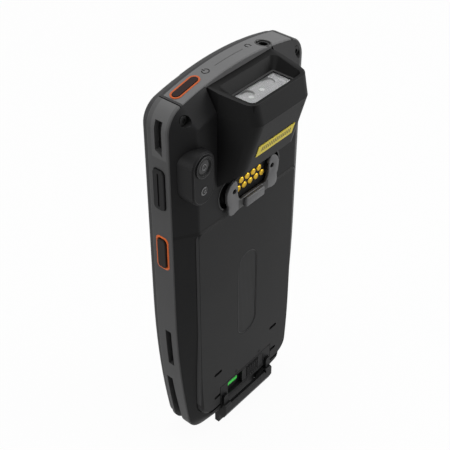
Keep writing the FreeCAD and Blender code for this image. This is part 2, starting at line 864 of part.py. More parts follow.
def tilted_sketch(body, depth):
    """A sketch tangent to the crown at the power key, sunk by a depth along its normal."""
    top_z, tilt = power_place()
    sketch = body.newObject("Sketcher::SketchObject", body.Name + "_sketch")
    sketch.AttachmentSupport = [(origin_plane(body, "XY_Plane"), "")]
    sketch.MapMode = "FlatFace"
    sketch.AttachmentOffset = FreeCAD.Placement(Vector(), FreeCAD.Rotation(Vector(0, 1, 0), 1))
    lean = d.power_x / d.crown_radius
    upright = (1 - lean * lean).sqrt()
    sketch.setExpression("AttachmentOffset.Rotation.Angle", tilt.formula)
    sketch.setExpression("AttachmentOffset.Base.x", (d.power_x - depth * lean).formula)
    sketch.setExpression("AttachmentOffset.Base.y", d.band_key_y.formula)
    sketch.setExpression("AttachmentOffset.Base.z", (top_z - depth * upright).formula)
    return sketch


def add_power_pill(sketch, shrink):
    radius = d.power_ring_width / 2 - shrink
    half = d.power_ring_length / 2 - d.power_ring_width / 2
    add_pill(sketch, (-half, as_size(0)), (half, as_size(0)), radius)


def build_top_trim():
    body = build_ring("top_trim")
    seam = d.seam_x - d.seam_gap / 2
    near = d.cut_reach
    keep_inside(body, [(-seam, d.taper_start_z), (seam, d.taper_start_z), (seam, near), (-seam, near)])
    ring = new_sketch(body, "XY_Plane", d.top_corner_z + d.top_fillet)
    add_circle(ring, d.jack_x, d.jack_y, d.jack_ring_radius)
    pocket(body, ring, d.top_fillet * 2)
    power = tilted_sketch(body, -d.cut_lead)
    add_power_pill(power, 0)
    pocket(body, power, d.power_ring_depth + d.cut_lead)
    shank = tilted_sketch(body, -d.cut_lead)
    add_power_pill(shank, d.power_ring_rim)
    pocket(body, shank, d.power_ring_depth + d.power_key_depth + d.cut_lead)


def build_bottom_trim():
    body = build_ring("bottom_trim")
    seam = d.low_seam_x - d.seam_gap / 2
    near = d.cut_reach
    keep_inside(body, [(-seam, -near), (seam, -near), (seam, d.taper_start_z),
                       (-seam, d.taper_start_z)])
    usb = new_sketch(body, "XY_Plane", 0)
    rise = d.usb_height / 2
    add_round_box(usb, -d.usb_half_width, d.usb_y - rise, d.usb_half_width, d.usb_y + rise,
                  d.usb_corner)
    pocket(body, usb, d.usb_length, along_normal=True)


# Keys in the bands

def build_scan_key(side, name):
    surface = d.half_width * side
    low, high = d.scan_key_z - d.scan_frame_length / 2, d.scan_key_z + d.scan_frame_length / 2
    back, front = d.band_key_y - d.scan_frame_width / 2, d.band_key_y + d.scan_frame_width / 2
    outward = side > 0
    frame = new_body(f"scan_frame_{name}")
    ring = new_sketch(frame, "YZ_Plane", (d.half_width - d.trim_wall) * side)
    add_round_box(ring, back, low, front, high, d.band_key_corner)
    rim = d.scan_frame_rim
    add_round_box(ring, back + rim, low + rim, front - rim, high - rim, d.band_key_corner - rim / 2)
    wall = pad_towards(frame, ring, d.trim_wall + d.scan_frame_proud, outward)
    key = new_body(f"scan_key_{name}")
    rim = rim + d.band_key_clearance
    inner_end = d.half_width - d.trim_wall - d.band_key_clearance
    cap = new_sketch(key, "YZ_Plane", inner_end * side)
    add_round_box(cap, back + rim, low + rim, front - rim, high - rim, d.band_key_corner - rim / 2)
    block = pad_towards(key, cap, d.trim_wall + d.band_key_clearance + d.band_key_proud, outward)
    outer_x = surface + d.band_key_proud * side
    fillet(key, block, all_at_x(outer_x), d.band_key_round)
    outer_x = surface + d.scan_frame_proud * side
    chamfer(frame, wall, all_at_x(outer_x), d.scan_frame_proud)


def pad_towards(body, sketch, length, along_normal):
    feature = pad(body, sketch, length)
    feature.Reversed = not along_normal
    doc.recompute()
    return feature


def all_at_x(size):
    return lambda points: all(abs(point.x - size.value) < 1e-4 for point in points)


def build_volume_rocker():
    body = new_body("volume_rocker")
    gap = d.band_key_clearance
    half_length, half_width = d.volume_length / 2 - gap, d.volume_width / 2 - gap
    inner = -(d.half_width - d.trim_wall - gap)
    cap = new_sketch(body, "YZ_Plane", inner)
    add_round_box(cap, d.band_key_y - half_width, d.volume_z - half_length,
                  d.band_key_y + half_width, d.volume_z + half_length, d.band_key_corner - gap)
    block = pad_towards(body, cap, d.trim_wall + gap + d.volume_proud, False)
    outer_x = -(d.half_width + d.volume_proud)
    fillet(body, block, all_at_x(outer_x), d.volume_round)
    groove = new_sketch(body, "YZ_Plane", outer_x)
    reach = half_length - d.band_key_corner
    add_pill(groove, (d.band_key_y, d.volume_z - reach), (d.band_key_y, d.volume_z + reach),
             d.volume_groove_radius)
    pocket(body, groove, d.volume_groove_radius, along_normal=True)


def build_power_key():
    ring = new_body("power_ring")
    outer = tilted_sketch(ring, d.power_ring_depth)
    add_power_pill(outer, 0)
    add_power_pill(outer, d.power_ring_rim)
    pad(ring, outer, d.power_ring_depth + d.fit_gap)
    key = new_body("power_key")
    cap = tilted_sketch(key, d.power_key_depth)
    add_power_pill(cap, d.power_ring_rim + d.band_key_clearance)
    pad(key, cap, d.power_key_depth + d.power_proud)


# Back: rear housing, hood, camera, contacts and bracket

def add_recess_pill(sketch, half_width, height, centre_z, shrink=0):
    radius = height / 2 - shrink
    reach = half_width - height / 2
    add_pill(sketch, (-reach, centre_z), (reach, centre_z), radius)


def build_rear_housing():
    body = new_body("rear_housing")
    back = d.plateau_y
    slab = outline_slab(body, d.band_back_y, d.band_back_y - back, d.rear_inset)
    bevel = chamfer(body, slab, all_at_y(back), d.bevel_depth, d.bevel_width)
    fillet(body, bevel, all_at_y(back), d.ridge_fillet)
    hood = new_sketch(body, "XZ_Plane", back)
    reach = d.hood_half_width
    add_box(hood, -reach, d.hood_bottom_z, reach, d.top_corner_z + d.top_fillet)
    pocket(body, hood)
    bay = new_sketch(body, "XZ_Plane", back)
    add_battery_path(bay, d.battery_gap)
    pocket(body, bay)
    recess = new_sketch(body, "XZ_Plane", back)
    add_recess_pill(recess, d.recess_half_width, d.recess_height, d.recess_z)
    pocket(body, recess, d.recess_depth)
    well = new_sketch(body, "XZ_Plane", back)
    reach = d.block_half_width + d.fit_gap
    rise = d.block_height / 2 + d.fit_gap
    add_round_box(well, -reach, d.block_z - rise, reach, d.block_z + rise, d.block_corner)
    pocket(body, well, d.recess_depth)
    island = new_sketch(body, "XZ_Plane", back)
    add_pill(island, (d.camera_x, d.flash_z), (d.camera_x, d.camera_z), d.camera_radius)
    pocket(body, island, d.camera_foot_y - back)
    wells = new_sketch(body, "XZ_Plane", back)
    shanks = new_sketch(body, "XZ_Plane", back)
    for side in (-1, 1):
        add_circle(wells, d.screw_x * side, d.screw_z, d.screw_well_radius)
        add_circle(shanks, d.screw_x * side, d.screw_z, d.screw_shank_radius)
    pocket(body, wells, d.screw_seat_y - back)
    pocket(body, shanks)
    latch = new_sketch(body, "XZ_Plane", back)
    reach = d.latch_recess_half_width
    low = d.latch_recess_bottom_z
    add_round_box(latch, -reach, low, reach, low + d.latch_recess_height, d.latch_recess_corner)
    pocket(body, latch, d.latch_recess_depth)
    strap = new_sketch(body, "XZ_Plane", back)
    reach = d.strap_half_width + d.fit_gap
    add_box(strap, -reach, -d.bottom_fillet, reach, d.strap_notch_top_z)
    pocket(body, strap, d.strap_floor_y - back)
    ears = new_sketch(body, "XZ_Plane", back)
    near, top = reach - d.strap_ear_width - d.fit_gap * 2, d.strap_ear_top_z + d.fit_gap
    add_box(ears, near, d.strap_height, reach, top)
    add_box(ears, -reach, d.strap_height, -near, top)
    pocket(body, ears, d.strap_floor_y - back)


def hood_section(body, level, front_y, front_half_width, side):
    """One level of the hood: straight cheeks up to the plateau, then flanks that lean in."""
    sketch = new_sketch(body, "XY_Plane", level)
    back = d.band_back_y - d.fit_gap
    run, rise = side - front_half_width, d.plateau_y - front_y
    flank = (run * run + rise * rise).sqrt()
    cut = d.hood_corner * (flank - run) / rise
    flank_x = front_half_width + cut * run / flank
    flank_y = front_y + cut * rise / flank
    flat = front_half_width - cut
    add_path(sketch, [
        (-side, back), (-side, d.plateau_y), (-flank_x, flank_y), (-flat, front_y),
        (flat, front_y), (flank_x, flank_y), (side, d.plateau_y), (side, back)],
        {2: (d.hood_corner, 1), 4: (d.hood_corner, 1)})
    return sketch


def add_funnel_mouth(sketch):
    """The funnel's mouth: wider at the back than at the front, with round corners."""
    front, back = d.funnel_front_half_width, d.funnel_back_half_width
    front_y, back_y = d.funnel_front_y, d.funnel_back_y
    run, rise = back - front, back_y - front_y
    flank = (run * run + rise * rise).sqrt()
    lean, climb = run / flank, rise / flank
    near = d.funnel_corner * (flank - run) / rise
    far = d.funnel_corner * (flank + run) / rise
    near_x, near_y = front + near * lean, front_y + near * climb
    far_x, far_y = back - far * lean, back_y - far * climb
    add_path(sketch, [
        (near - front, front_y), (front - near, front_y), (near_x, near_y), (far_x, far_y),
        (back - far, back_y), (far - back, back_y), (-far_x, far_y), (-near_x, near_y)],
        {edge: (d.funnel_corner, 1) for edge in (1, 3, 5, 7)})


def loft(body, kind, sketches):
    feature = body.newObject(kind, body.Name + "_loft")
    feature.Profile = sketches[0]
    feature.Sections = sketches[1:]
    feature.Ruled = True
    doc.recompute()
    return feature


def build_hood():
    body = new_body("scanner_hood")
    slope = (d.hood_face_bottom_y - d.hood_break_y) / (d.hood_break_z - d.hood_face_bottom_z)
    low_y = d.hood_face_bottom_y + slope * (d.hood_face_bottom_z - d.hood_bottom_z)
    low = d.hood_bottom_z + d.fit_gap
    side = d.hood_half_width - d.fit_gap
    sections = [
        hood_section(body, low, low_y, d.hood_bottom_half_width, side),
        hood_section(body, d.hood_break_z, d.hood_break_y, d.hood_break_half_width, side),
        hood_section(body, d.hood_rim_back_z, d.hood_rim_front_y, d.hood_rim_half_width,
                     d.hood_rim_side),
    ]
    loft(body, "PartDesign::AdditiveLoft", sections)
    below = new_sketch(body, "YZ_Plane", d.half_width)
    far_y = d.hood_break_y * 2
    foot = low - d.hood_cut_rise
    add_path(below, [
        (d.plateau_y, low + d.fit_gap), (d.plateau_y, foot), (far_y, foot),
        (far_y, d.hood_face_bottom_z), (d.hood_face_bottom_y, d.hood_face_bottom_z)])
    pocket(body, below)
    above = new_sketch(body, "YZ_Plane", d.half_width)
    high = d.hood_rim_back_z + d.hood_cut_rise
    add_path(above, [
        (d.band_back_y, d.hood_rim_back_z), (d.band_back_y, high), (far_y, high),
        (far_y, d.hood_rim_front_z), (d.hood_rim_front_y, d.hood_rim_front_z)])
    pocket(body, above)
    mouth = new_sketch(body, "XY_Plane", d.hood_rim_back_z)
    add_funnel_mouth(mouth)
    throat = new_sketch(body, "XY_Plane", d.window_z)
    add_round_box(throat, -d.window_half_width, d.window_front_y, d.window_half_width,
                  d.window_back_y, d.window_corner)
    loft(body, "PartDesign::SubtractiveLoft", [mouth, throat])
    seat = new_sketch(body, "XY_Plane", d.window_z)
    add_round_box(seat, -d.window_half_width, d.window_front_y, d.window_half_width,
                  d.window_back_y, d.window_corner)
    pocket(body, seat, d.window_thickness)
    port = new_sketch(body, "XY_Plane", d.window_z)
    reach = d.window_half_width - d.window_ledge
    add_box(port, -reach, d.window_front_y + d.window_ledge, reach,
            d.window_back_y - d.window_ledge)
    pocket(body, port, d.window_z - d.engine_top_z + d.fit_gap)
    room = new_sketch(body, "XZ_Plane", d.engine_front_y - d.engine_gap)
    reach = d.engine_half_width + d.engine_gap
    add_box(room, -reach, d.engine_bottom_z - d.engine_gap, reach, d.engine_top_z + d.engine_gap)
    pocket(body, room)


def build_scanner_parts():
    window = new_body("scanner_window")
    plate = new_sketch(window, "XY_Plane", d.window_z - d.window_thickness)
    gap = d.fit_gap
    add_round_box(plate, gap - d.window_half_width, d.window_front_y + gap,
                  d.window_half_width - gap, d.window_back_y - gap, d.window_corner)
    pad(window, plate, d.window_thickness - gap)
    engine = new_body("scan_engine")
    block = new_sketch(engine, "XZ_Plane", d.band_back_y)
    add_box(block, -d.engine_half_width, d.engine_bottom_z, d.engine_half_width, d.engine_top_z)
    pad(engine, block, d.band_back_y - d.engine_front_y)
    head = new_sketch(engine, "XY_Plane", d.engine_top_z)
    edge = d.window_ledge + d.engine_head_gap
    reach = d.window_half_width - edge
    add_box(head, -reach, d.window_front_y + edge, reach, d.window_back_y - edge)
    head_top = d.window_z - d.window_thickness - gap
    pad(engine, head, head_top - d.engine_top_z)
    ports = new_sketch(engine, "XY_Plane", head_top)
    centre_y = (d.engine_front_y + d.window_back_y) / 2
    for side in (-1, 1):
        add_circle(ports, d.engine_half_width / 2 * side, centre_y, d.engine_port_radius)
    pocket(engine, ports, d.engine_port_depth)


def build_camera():
    island = new_body("camera_island")
    gap = d.fit_gap
    shape = new_sketch(island, "XZ_Plane", d.camera_foot_y - gap)
    add_pill(shape, (d.camera_x, d.flash_z), (d.camera_x, d.camera_z), d.camera_radius - gap)
    block = pad(island, shape, d.camera_foot_y - gap - d.camera_face_y)
    chamfer(island, block, all_at_y(d.camera_face_y), d.camera_edge)
    wells = new_sketch(island, "XZ_Plane", d.camera_face_y)
    add_circle(wells, d.camera_x, d.camera_z, d.camera_ring_radius + gap)
    add_circle(wells, d.camera_x, d.flash_z, d.flash_radius + gap)
    pocket(island, wells, d.camera_ring_width)
    ring = new_body("camera_ring")
    circle = new_sketch(ring, "XZ_Plane", d.camera_face_y + d.camera_ring_width)
    add_circle(circle, d.camera_x, d.camera_z, d.camera_ring_radius)
    add_circle(circle, d.camera_x, d.camera_z, d.camera_ring_radius - d.camera_ring_width)
    body = pad(ring, circle, d.camera_ring_width + d.camera_ring_proud)
    chamfer(ring, body, all_at_y(d.camera_face_y - d.camera_ring_proud), d.camera_ring_edge)
    lens = new_body("camera_lens")
    disc = new_sketch(lens, "XZ_Plane", d.camera_face_y + d.camera_ring_width)
    add_circle(disc, d.camera_x, d.camera_z, d.camera_ring_radius - d.camera_ring_width - gap)
    pad(lens, disc, d.camera_ring_width)
    flash = new_body("flash_lens")
    disc = new_sketch(flash, "XZ_Plane", d.camera_face_y + d.camera_ring_width)
    add_circle(disc, d.camera_x, d.flash_z, d.flash_radius)
    pad(flash, disc, d.camera_ring_width)


def contact_places():
    """The nine contacts: four in the upper row, five in the lower, staggered by half a pitch."""
    places = []
    for row, count in enumerate((4, 5)):
        for number in range(count):
            across = d.contact_pitch * (number - (count - 1) / 2)
            places.append((across, d.contact_row_z - d.contact_row_drop * row))
    return places


def build_contact_block():
    block = new_body("contact_block")
    floor = d.plateau_y + d.recess_depth
    base = new_sketch(block, "XZ_Plane", floor)
    add_recess_pill(base, d.recess_half_width - d.bracket_thickness, d.recess_height,
                    d.recess_z, d.bracket_thickness)
    pad(block, base, d.block_foot)
    raised = new_sketch(block, "XZ_Plane", floor)
    low = d.block_z - d.block_height / 2
    add_round_box(raised, -d.block_half_width, low, d.block_half_width, low + d.block_height,
                  d.block_corner)
    pad(block, raised, floor - d.block_y)
    bosses = new_sketch(block, "XZ_Plane", floor)
    holes = new_sketch(block, "XZ_Plane", d.bracket_back_y)
    for side in (-1, 1):
        add_circle(bosses, d.grip_hole_x * side, d.grip_hole_z, d.boss_radius)
        add_circle(holes, d.grip_hole_x * side, d.grip_hole_z, d.grip_hole_radius)
    pad(block, bosses, floor - d.bracket_back_y)
    pocket(block, holes, floor - d.bracket_back_y - d.fit_gap)
    sockets = new_sketch(block, "XZ_Plane", d.block_y)
    for across, up in contact_places():
        add_circle(sockets, across, up, d.contact_radius)
    pocket(block, sockets, d.contact_depth)
    pins = new_body("contact_pins")
    circles = new_sketch(pins, "XZ_Plane", d.block_y + d.contact_depth)
    for across, up in contact_places():
        add_circle(circles, across, up, d.contact_radius)
    pad(pins, circles, d.contact_depth + d.contact_proud)


def build_bracket():
    body = new_body("grip_bracket")
    outer, inner = d.bracket_half_width, d.bracket_inner_half_width
    low, top = d.bracket_bottom_z, d.bracket_top_z
    bar_top = low + d.bracket_bar_height
    shape = new_sketch(body, "XZ_Plane", d.bracket_back_y)
    ear = d.bracket_ear_radius
    turn = d.bracket_inner_radius
    foot = outer - ear
    heel = outer - d.bracket_foot_step
    add_path(shape, [
        (-foot, low), (foot, low), (heel, low + ear), (outer, top - ear * 2), (outer, top - ear),
        (outer - ear, top), (inner + turn, top), (inner, top - turn), (inner, bar_top + turn),
        (inner - turn, bar_top), (turn - inner, bar_top), (-inner, bar_top + turn),
        (-inner, top - turn), (-inner - turn, top), (ear - outer, top), (-outer, top - ear),
        (-outer, top - ear * 2), (-heel, low + ear)],
        {4: (ear, 1), 6: (turn, 1), 8: (turn, -1), 10: (turn, -1), 12: (turn, 1), 14: (ear, 1)})
    pad(body, shape, d.bracket_thickness)
    bar = new_sketch(body, "XZ_Plane", d.bracket_back_y)
    reach = inner + turn
    add_box(bar, -reach, low, reach, bar_top)
    front_y = d.bracket_back_y - d.bracket_thickness - d.bracket_bar_proud
    block = pad(body, bar, d.bracket_thickness + d.bracket_bar_proud)

    def long_front_edge(points):
        level = abs(points[0].z - points[2].z) < 1e-4
        return level and all(abs(point.y - front_y.value) < 1e-4 for point in points)

    fillet(body, block, long_front_edge, d.bracket_bar_proud)
    holes = new_sketch(body, "XZ_Plane", d.bracket_back_y - d.bracket_thickness)
    for side in (-1, 1):
        add_circle(holes, d.grip_hole_x * side, d.grip_hole_z, d.grip_hole_radius)
    pocket(body, holes)


# Battery, latch and strap bar

def build_battery():
    body = new_body("battery_pack")
    back = d.plateau_y
    shape = new_sketch(body, "XZ_Plane", back + d.battery_depth)
    add_battery_path(shape, as_size(0))
    slab = pad(body, shape, d.battery_depth)
    notch = d.notch_half_width.value

    def outer_edge(points):
        level = all(abs(point.y - back.value) < 1e-4 for point in points)
        in_notch = all(abs(point.x) < notch + 1e-4 for point in points)
        return level and (not in_notch or points[1].z > d.battery_taper_z.value)

    slab = chamfer(body, slab, outer_edge, d.battery_edge_depth, d.battery_edge_width)
    inner_y = back + d.battery_depth
    feet = (d.battery_bottom_z.value, d.notch_top_z.value)

    def heel(points):
        level = any(all(abs(point.z - foot) < 1e-4 for point in points) for foot in feet)
        return level and all(abs(point.y - inner_y.value) < 1e-4 for point in points)

    chamfer(body, slab, heel, d.battery_heel)
    badge = new_sketch(body, "XZ_Plane", back)
    reach = d.badge_height / 2 - d.badge_half_width
    add_pill(badge, (as_size(0), d.badge_z - reach), (as_size(0), d.badge_z + reach),
             d.badge_half_width)
    pocket(body, badge, d.badge_depth)
    slots = new_sketch(body, "XZ_Plane", back)
    reach = (d.grip_slot_length - d.grip_slot_width) / 2
    for side in (-1, 1):
        for row in (0, 1):
            centre_x = d.grip_slot_x * side
            centre_z = d.grip_slot_z - d.grip_slot_drop * row
            add_pill(slots, (centre_x - reach, centre_z), (centre_x + reach, centre_z),
                     d.grip_slot_width / 2)
    pocket(body, slots, d.grip_slot_depth)


def build_latch():
    floor = d.plateau_y + d.latch_recess_depth
    low = d.latch_recess_bottom_z + d.latch_gap
    high = d.latch_recess_bottom_z + d.latch_recess_height - d.latch_gap
    right = d.latch_recess_half_width - d.latch_gap
    length = (d.latch_recess_half_width - d.latch_gap) * 2 - d.latch_travel
    left = right - length
    body = new_body("battery_latch")
    shape = new_sketch(body, "XZ_Plane", floor - d.mark_thickness - d.fit_gap)
    add_round_box(shape, left, low, right, high, d.latch_corner)
    pad(body, shape, floor - d.mark_thickness - d.fit_gap - d.plateau_y)
    ribs = new_sketch(body, "XZ_Plane", d.plateau_y)
    for number in range(6):
        rib_x = left + length / 2 + d.latch_rib_pitch * (number - 2.5)
        add_box(ribs, rib_x - d.latch_rib_pitch / 4, low + d.latch_gap * 2,
                rib_x + d.latch_rib_pitch / 4, high - d.latch_gap * 2)
    pad(body, ribs, d.latch_rib_proud)
    mark = new_body("latch_mark")
    middle = (low + high) / 2
    strip = new_sketch(mark, "XZ_Plane", floor)
    start = d.latch_gap * 2 - d.latch_recess_half_width
    add_box(strip, start, middle - d.mark_width / 2, start + d.mark_length,
            middle + d.mark_width / 2)
    pad(mark, strip, d.mark_thickness)


def build_strap_bar():
    body = new_body("strap_bar")
    outer = d.strap_half_width
    inner = outer - d.strap_leg
    back = d.plateau_y - d.strap_bar_proud
    bar = new_sketch(body, "YZ_Plane", -outer)
    front = back + d.strap_bar_thickness
    add_path(bar, [
        (back + d.strap_bar_undercut, d.strap_bar_low_z), (front, d.strap_bar_low_z),
        (front, d.strap_bar_top_z), (back + d.strap_round, d.strap_bar_top_z),
        (back, d.strap_bar_top_z - d.strap_round), (back, d.strap_bar_middle_z)])
    pad(body, bar, outer * 2)
    for side in (-1, 1):
        leg = new_sketch(body, "YZ_Plane", inner * side)
        add_path(leg, [
            (d.strap_foot_y, 0), (d.strap_floor_y, 0), (d.strap_floor_y, d.strap_height),
            (back + d.strap_round, d.strap_height), (back, d.strap_height - d.strap_round),
            (back, d.strap_bar_middle_z), (back + d.strap_bar_undercut, d.strap_bar_low_z),
            (d.strap_foot_y, d.strap_bar_low_z)])
        pad_towards(body, leg, d.strap_leg, side > 0)
    ears = new_sketch(body, "XZ_Plane", d.strap_floor_y)
    near, low = outer - d.strap_ear_width, d.strap_height - d.strap_ear_corner * 2
    top, corner = d.strap_ear_top_z, d.strap_ear_corner
    add_round_box(ears, near, low, outer, top, corner)
    add_round_box(ears, -outer, low, -near, top, corner)
    pad(body, ears, d.strap_floor_y - d.strap_ear_y)


# Sockets and screws

def build_screws():
    body = new_body("housing_screws")
    heads = new_sketch(body, "XZ_Plane", d.screw_seat_y)
    shanks = new_sketch(body, "XZ_Plane", d.band_back_y + d.screw_length - d.fit_gap)
    drives = new_sketch(body, "XZ_Plane", d.screw_seat_y - d.screw_head_height)
    for side in (-1, 1):
        centre = (d.screw_x * side, d.screw_z)
        add_circle(heads, *centre, d.screw_head_radius)
        add_circle(shanks, *centre, d.screw_shank_radius)
        add_circle(drives, *centre, d.screw_head_radius / 2)
    pad(body, heads, d.screw_head_height)
    pad(body, shanks, d.band_back_y + d.screw_length - d.fit_gap - d.screw_seat_y)
    pocket(body, drives, d.screw_head_height / 2)


def build_sockets():
    jack = new_body("audio_jack")
    top = jack_top()
    tube = new_sketch(jack, "XY_Plane", top - d.jack_body_length)
    add_circle(tube, d.jack_x, d.jack_y, d.jack_body_radius)
    pad(jack, tube, d.jack_body_length)
    bore = new_sketch(jack, "XY_Plane", top)
    add_circle(bore, d.jack_x, d.jack_y, d.jack_bore_radius)
    pocket(jack, bore, d.jack_bore_depth)
    usb = new_body("usb_socket")
    low = d.usb_low_z
    shell = new_sketch(usb, "XY_Plane", low)
    reach, rise = d.usb_half_width, d.usb_height / 2
    add_round_box(shell, -reach, d.usb_y - rise, reach, d.usb_y + rise, d.usb_corner)
    pad(usb, shell, d.usb_length)
    mouth = new_sketch(usb, "XY_Plane", low)
    reach, rise = reach - d.usb_wall, rise - d.usb_wall
    add_round_box(mouth, -reach, d.usb_y - rise, reach, d.usb_y + rise, d.usb_corner - d.usb_wall)
    pocket(usb, mouth, d.usb_mouth_depth, along_normal=True)
    tongue = new_sketch(usb, "XY_Plane", low + d.usb_wall)
    reach = d.usb_tongue_half_width
    add_box(tongue, -reach, d.usb_y - d.usb_wall, reach, d.usb_y + d.usb_wall)
    pad(usb, tongue, d.usb_tongue_length)


def check_and_export():
    """Every object must have recomputed and every piece must be one valid shape."""
    doc.recompute()
    faults = [item.Name for item in doc.Objects if {"Invalid", "Error"} & set(item.State)]
    for body in built:
        if body.Shape.isNull() or not body.Shape.isValid() or not body.Shape.Solids:
            faults.append(body.Label)
    if faults:
        raise RuntimeError("failed: " + ", ".join(faults))
    for body in built:
        body.Shape.exportStep(f"parts/{body.Label}.step")
        box = body.Shape.BoundBox
        print(f"{body.Label}: {len(body.Shape.Solids)} solid, {body.Shape.Volume:.1f} mm3, "
              f"x {box.XMin:.1f} {box.XMax:.1f}, y {box.YMin:.1f} {box.YMax:.1f}, "
              f"z {box.ZMin:.1f} {box.ZMax:.1f}")


build_front_housing()
build_keys()
build_keypad_mat()
build_display()
build_front_details()
build_mid_frame()
build_electronics()
build_side_band("side_band_left", -1)
build_side_band("side_band_right", 1)
build_top_trim()
build_bottom_trim()
build_scan_key(-1, "left")
build_scan_key(1, "right")
build_volume_rocker()
build_power_key()
build_rear_housing()
build_hood()
build_scanner_parts()
build_camera()
build_contact_block()
build_bracket()
build_battery()
build_latch()
build_strap_bar()
build_screws()
build_sockets()
check_and_export()
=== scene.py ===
import json
import math

import bpy
from mathutils import Matrix, Vector
from mathutils.bvhtree import BVHTree


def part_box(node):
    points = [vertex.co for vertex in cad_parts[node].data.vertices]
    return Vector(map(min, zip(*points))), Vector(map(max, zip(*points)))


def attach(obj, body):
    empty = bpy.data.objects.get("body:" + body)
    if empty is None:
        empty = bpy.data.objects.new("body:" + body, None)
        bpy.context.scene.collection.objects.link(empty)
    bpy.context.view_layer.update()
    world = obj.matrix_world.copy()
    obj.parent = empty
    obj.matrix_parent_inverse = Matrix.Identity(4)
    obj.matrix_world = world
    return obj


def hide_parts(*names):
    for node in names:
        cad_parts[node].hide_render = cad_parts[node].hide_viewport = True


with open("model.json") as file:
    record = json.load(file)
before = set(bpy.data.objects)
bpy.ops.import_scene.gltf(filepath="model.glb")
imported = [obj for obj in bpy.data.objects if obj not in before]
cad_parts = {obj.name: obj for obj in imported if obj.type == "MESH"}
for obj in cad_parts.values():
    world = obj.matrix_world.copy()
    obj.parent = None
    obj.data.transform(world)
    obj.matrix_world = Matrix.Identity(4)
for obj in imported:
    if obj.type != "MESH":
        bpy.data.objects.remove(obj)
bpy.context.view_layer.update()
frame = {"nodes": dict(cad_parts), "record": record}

MM = 0.001

# Where the camera stands and what it looks at, in metres
CAMERA_PLACE = Vector((-0.2525, -0.2032, 0.3713))
CAMERA_AIM = Vector((-0.0129, 0.0, 0.1176))
SENSOR_WIDTH = 36.0
IMAGE_WIDTH = 450
FOCAL_PIXELS = 1001.7
CLIP_START = 0.01

# Studio: the floor, the world's plain grey light, and soft lamps as (name, place, size, power)
FLOOR_SIZE = 6.0
FLOOR_COLOUR = (0.45, 0.45, 0.45, 1.0)
FLOOR_WHITE_SHARE = 0.96
WORLD_GREY = (0.20, 0.20, 0.20, 1)
LAMP_AIM = (0, 0, 0.1)
SOFTBOXES = (
    ("top_softbox", (0.1, 0.1, 1.3), (0.9, 0.9), 20),
    ("back_softbox", (0.95, -1.0, 0.5), (0.8, 0.8), 16),
    ("side_softbox", (-1.2, 0.5, 0.3), (0.6, 0.9), 8),
)

# Directions in the frame, and where the rays that look for a surface start
BACKWARD = Vector((0, -1, 0))
FORWARD = Vector((0, 1, 0))
DOWNWARD = Vector((0, 0, -1))
RAY_START_BEHIND = -0.05
RAY_START_ABOVE = 0.3

# Angles above which an edge stays sharp to the eye, and above which it is rounded
SMOOTH_ANGLE = math.radians(35)
SOFTEN_ANGLE = math.radians(40)

# Texture sizes and how far they change the roughness
MOTTLE_SIZE = 18 * MM
MOULD_ROUGHNESS_SPAN = 0.12
METAL_ROUGHNESS_SPAN = 0.15
METAL_ROUGHNESS_DROP = 0.07
KNURL_PITCH = 0.9 * MM

# Recoloured zones of the CAD pieces: places and sizes in millimetres, and the funnel's slope
FUNNEL_SLOPE = 0.113
FUNNEL_HALF_WIDTH = 17.3
FUNNEL_FRONT_Y = -15.7
FUNNEL_LOW_Z = 174.0
BATTERY_TOP_Z = 123.2
BATTERY_RIM_X = 30.7
SEAM_Z = 124.8
SEAM_HALF_HEIGHT = 0.8
TRIM_DARK_Y = 13.2
TRIM_DARK_X = 31.5
STEP_OUTER_X = 9.4
STEP_TOP_Z = 130.0
INSET_Y = 8.8
INSET_HALF_WIDTH = 3.6
INSET_Z = 171.0
INSET_HALF_LENGTH = 10.5
BAR_DARK_TOP_Z = 7.4
BAR_DARK_X = 13.0
POWER_KEY_LOW_Z = 175.0

# Yellow plate on the hood's sloping face. The last three are in millimetres, for its ticks
PLATE_Z = 158.5 * MM
PLATE_WIDTH = 22.0 * MM
PLATE_HEIGHT = 5.6 * MM
PLATE_THICKNESS = 0.25 * MM
PLATE_LIFT_SHARE = 0.35
PLATE_EDGE_SHARE = 0.02
TICK_PITCH = 1.3 * MM
TICK_START = 0.62
TICK_HALF_HEIGHT = 1.25
TICK_HALF_SPAN = 9.2

# Small hole in the hood's sloping face: (across, up), its rim and its sunken bead
FACE_HOLE_AT = (12.6 * MM, 168.6 * MM)
FACE_HOLE_RIM = (0.62 * MM, 0.24 * MM)
FACE_HOLE_BEAD = (0.3 * MM, 0.5 * MM)
FACE_HOLE_SUNK = 0.14 * MM

# Printed marks, and their places on the top trim between the power key and the audio socket
MARK_DEPTH = 0.06 * MM
MARK_SUNK = 0.01 * MM
TRIM_MARK_Y = 9.3 * MM
TRIM_STROKE = 0.4 * MM
POWER_SIGN_X = -13.0 * MM
POWER_SIGN_RADIUS = 1.4 * MM
POWER_STEM = ((0, 0.4), (0, 1.8))
PLUG_SIGN_X = 11.6 * MM
PLUG_STROKE = 0.42 * MM
PLUG_SIGN = ((-0.9, -0.9), (-1.1, 0.5), (-0.6, 1.2), (0.6, 1.2), (1.1, 0.5), (0.9, -0.9))
TRIM_LINE_Y = TRIM_MARK_Y - 0.4 * MM
TRIM_LINE_STROKE = 0.36 * MM
TRIM_LINE_DASH = ((-1.02, 0), (1.02, 0))
TRIM_LINE_START = -7.2
TRIM_LINE_STEP = 2.0
TRIM_LINE_PIECES = 8

# Audio socket: (across, along) on the trim, and how far from its middle the trim is whole
JACK_AT = (18.2 * MM, 7.2 * MM)
JACK_CLEAR = 4.0 * MM

# Lamps on the scan engine, (across, along)
ENGINE_LAMPS = ((-0.4, -7.2), (-7.0, -7.6))
ENGINE_LAMP_RADIUS = 0.95 * MM
ENGINE_LAMP_HEIGHT = 0.2 * MM
ENGINE_LAMP_COLLAR = 0.3 * MM
ENGINE_RAY_START = 0.19

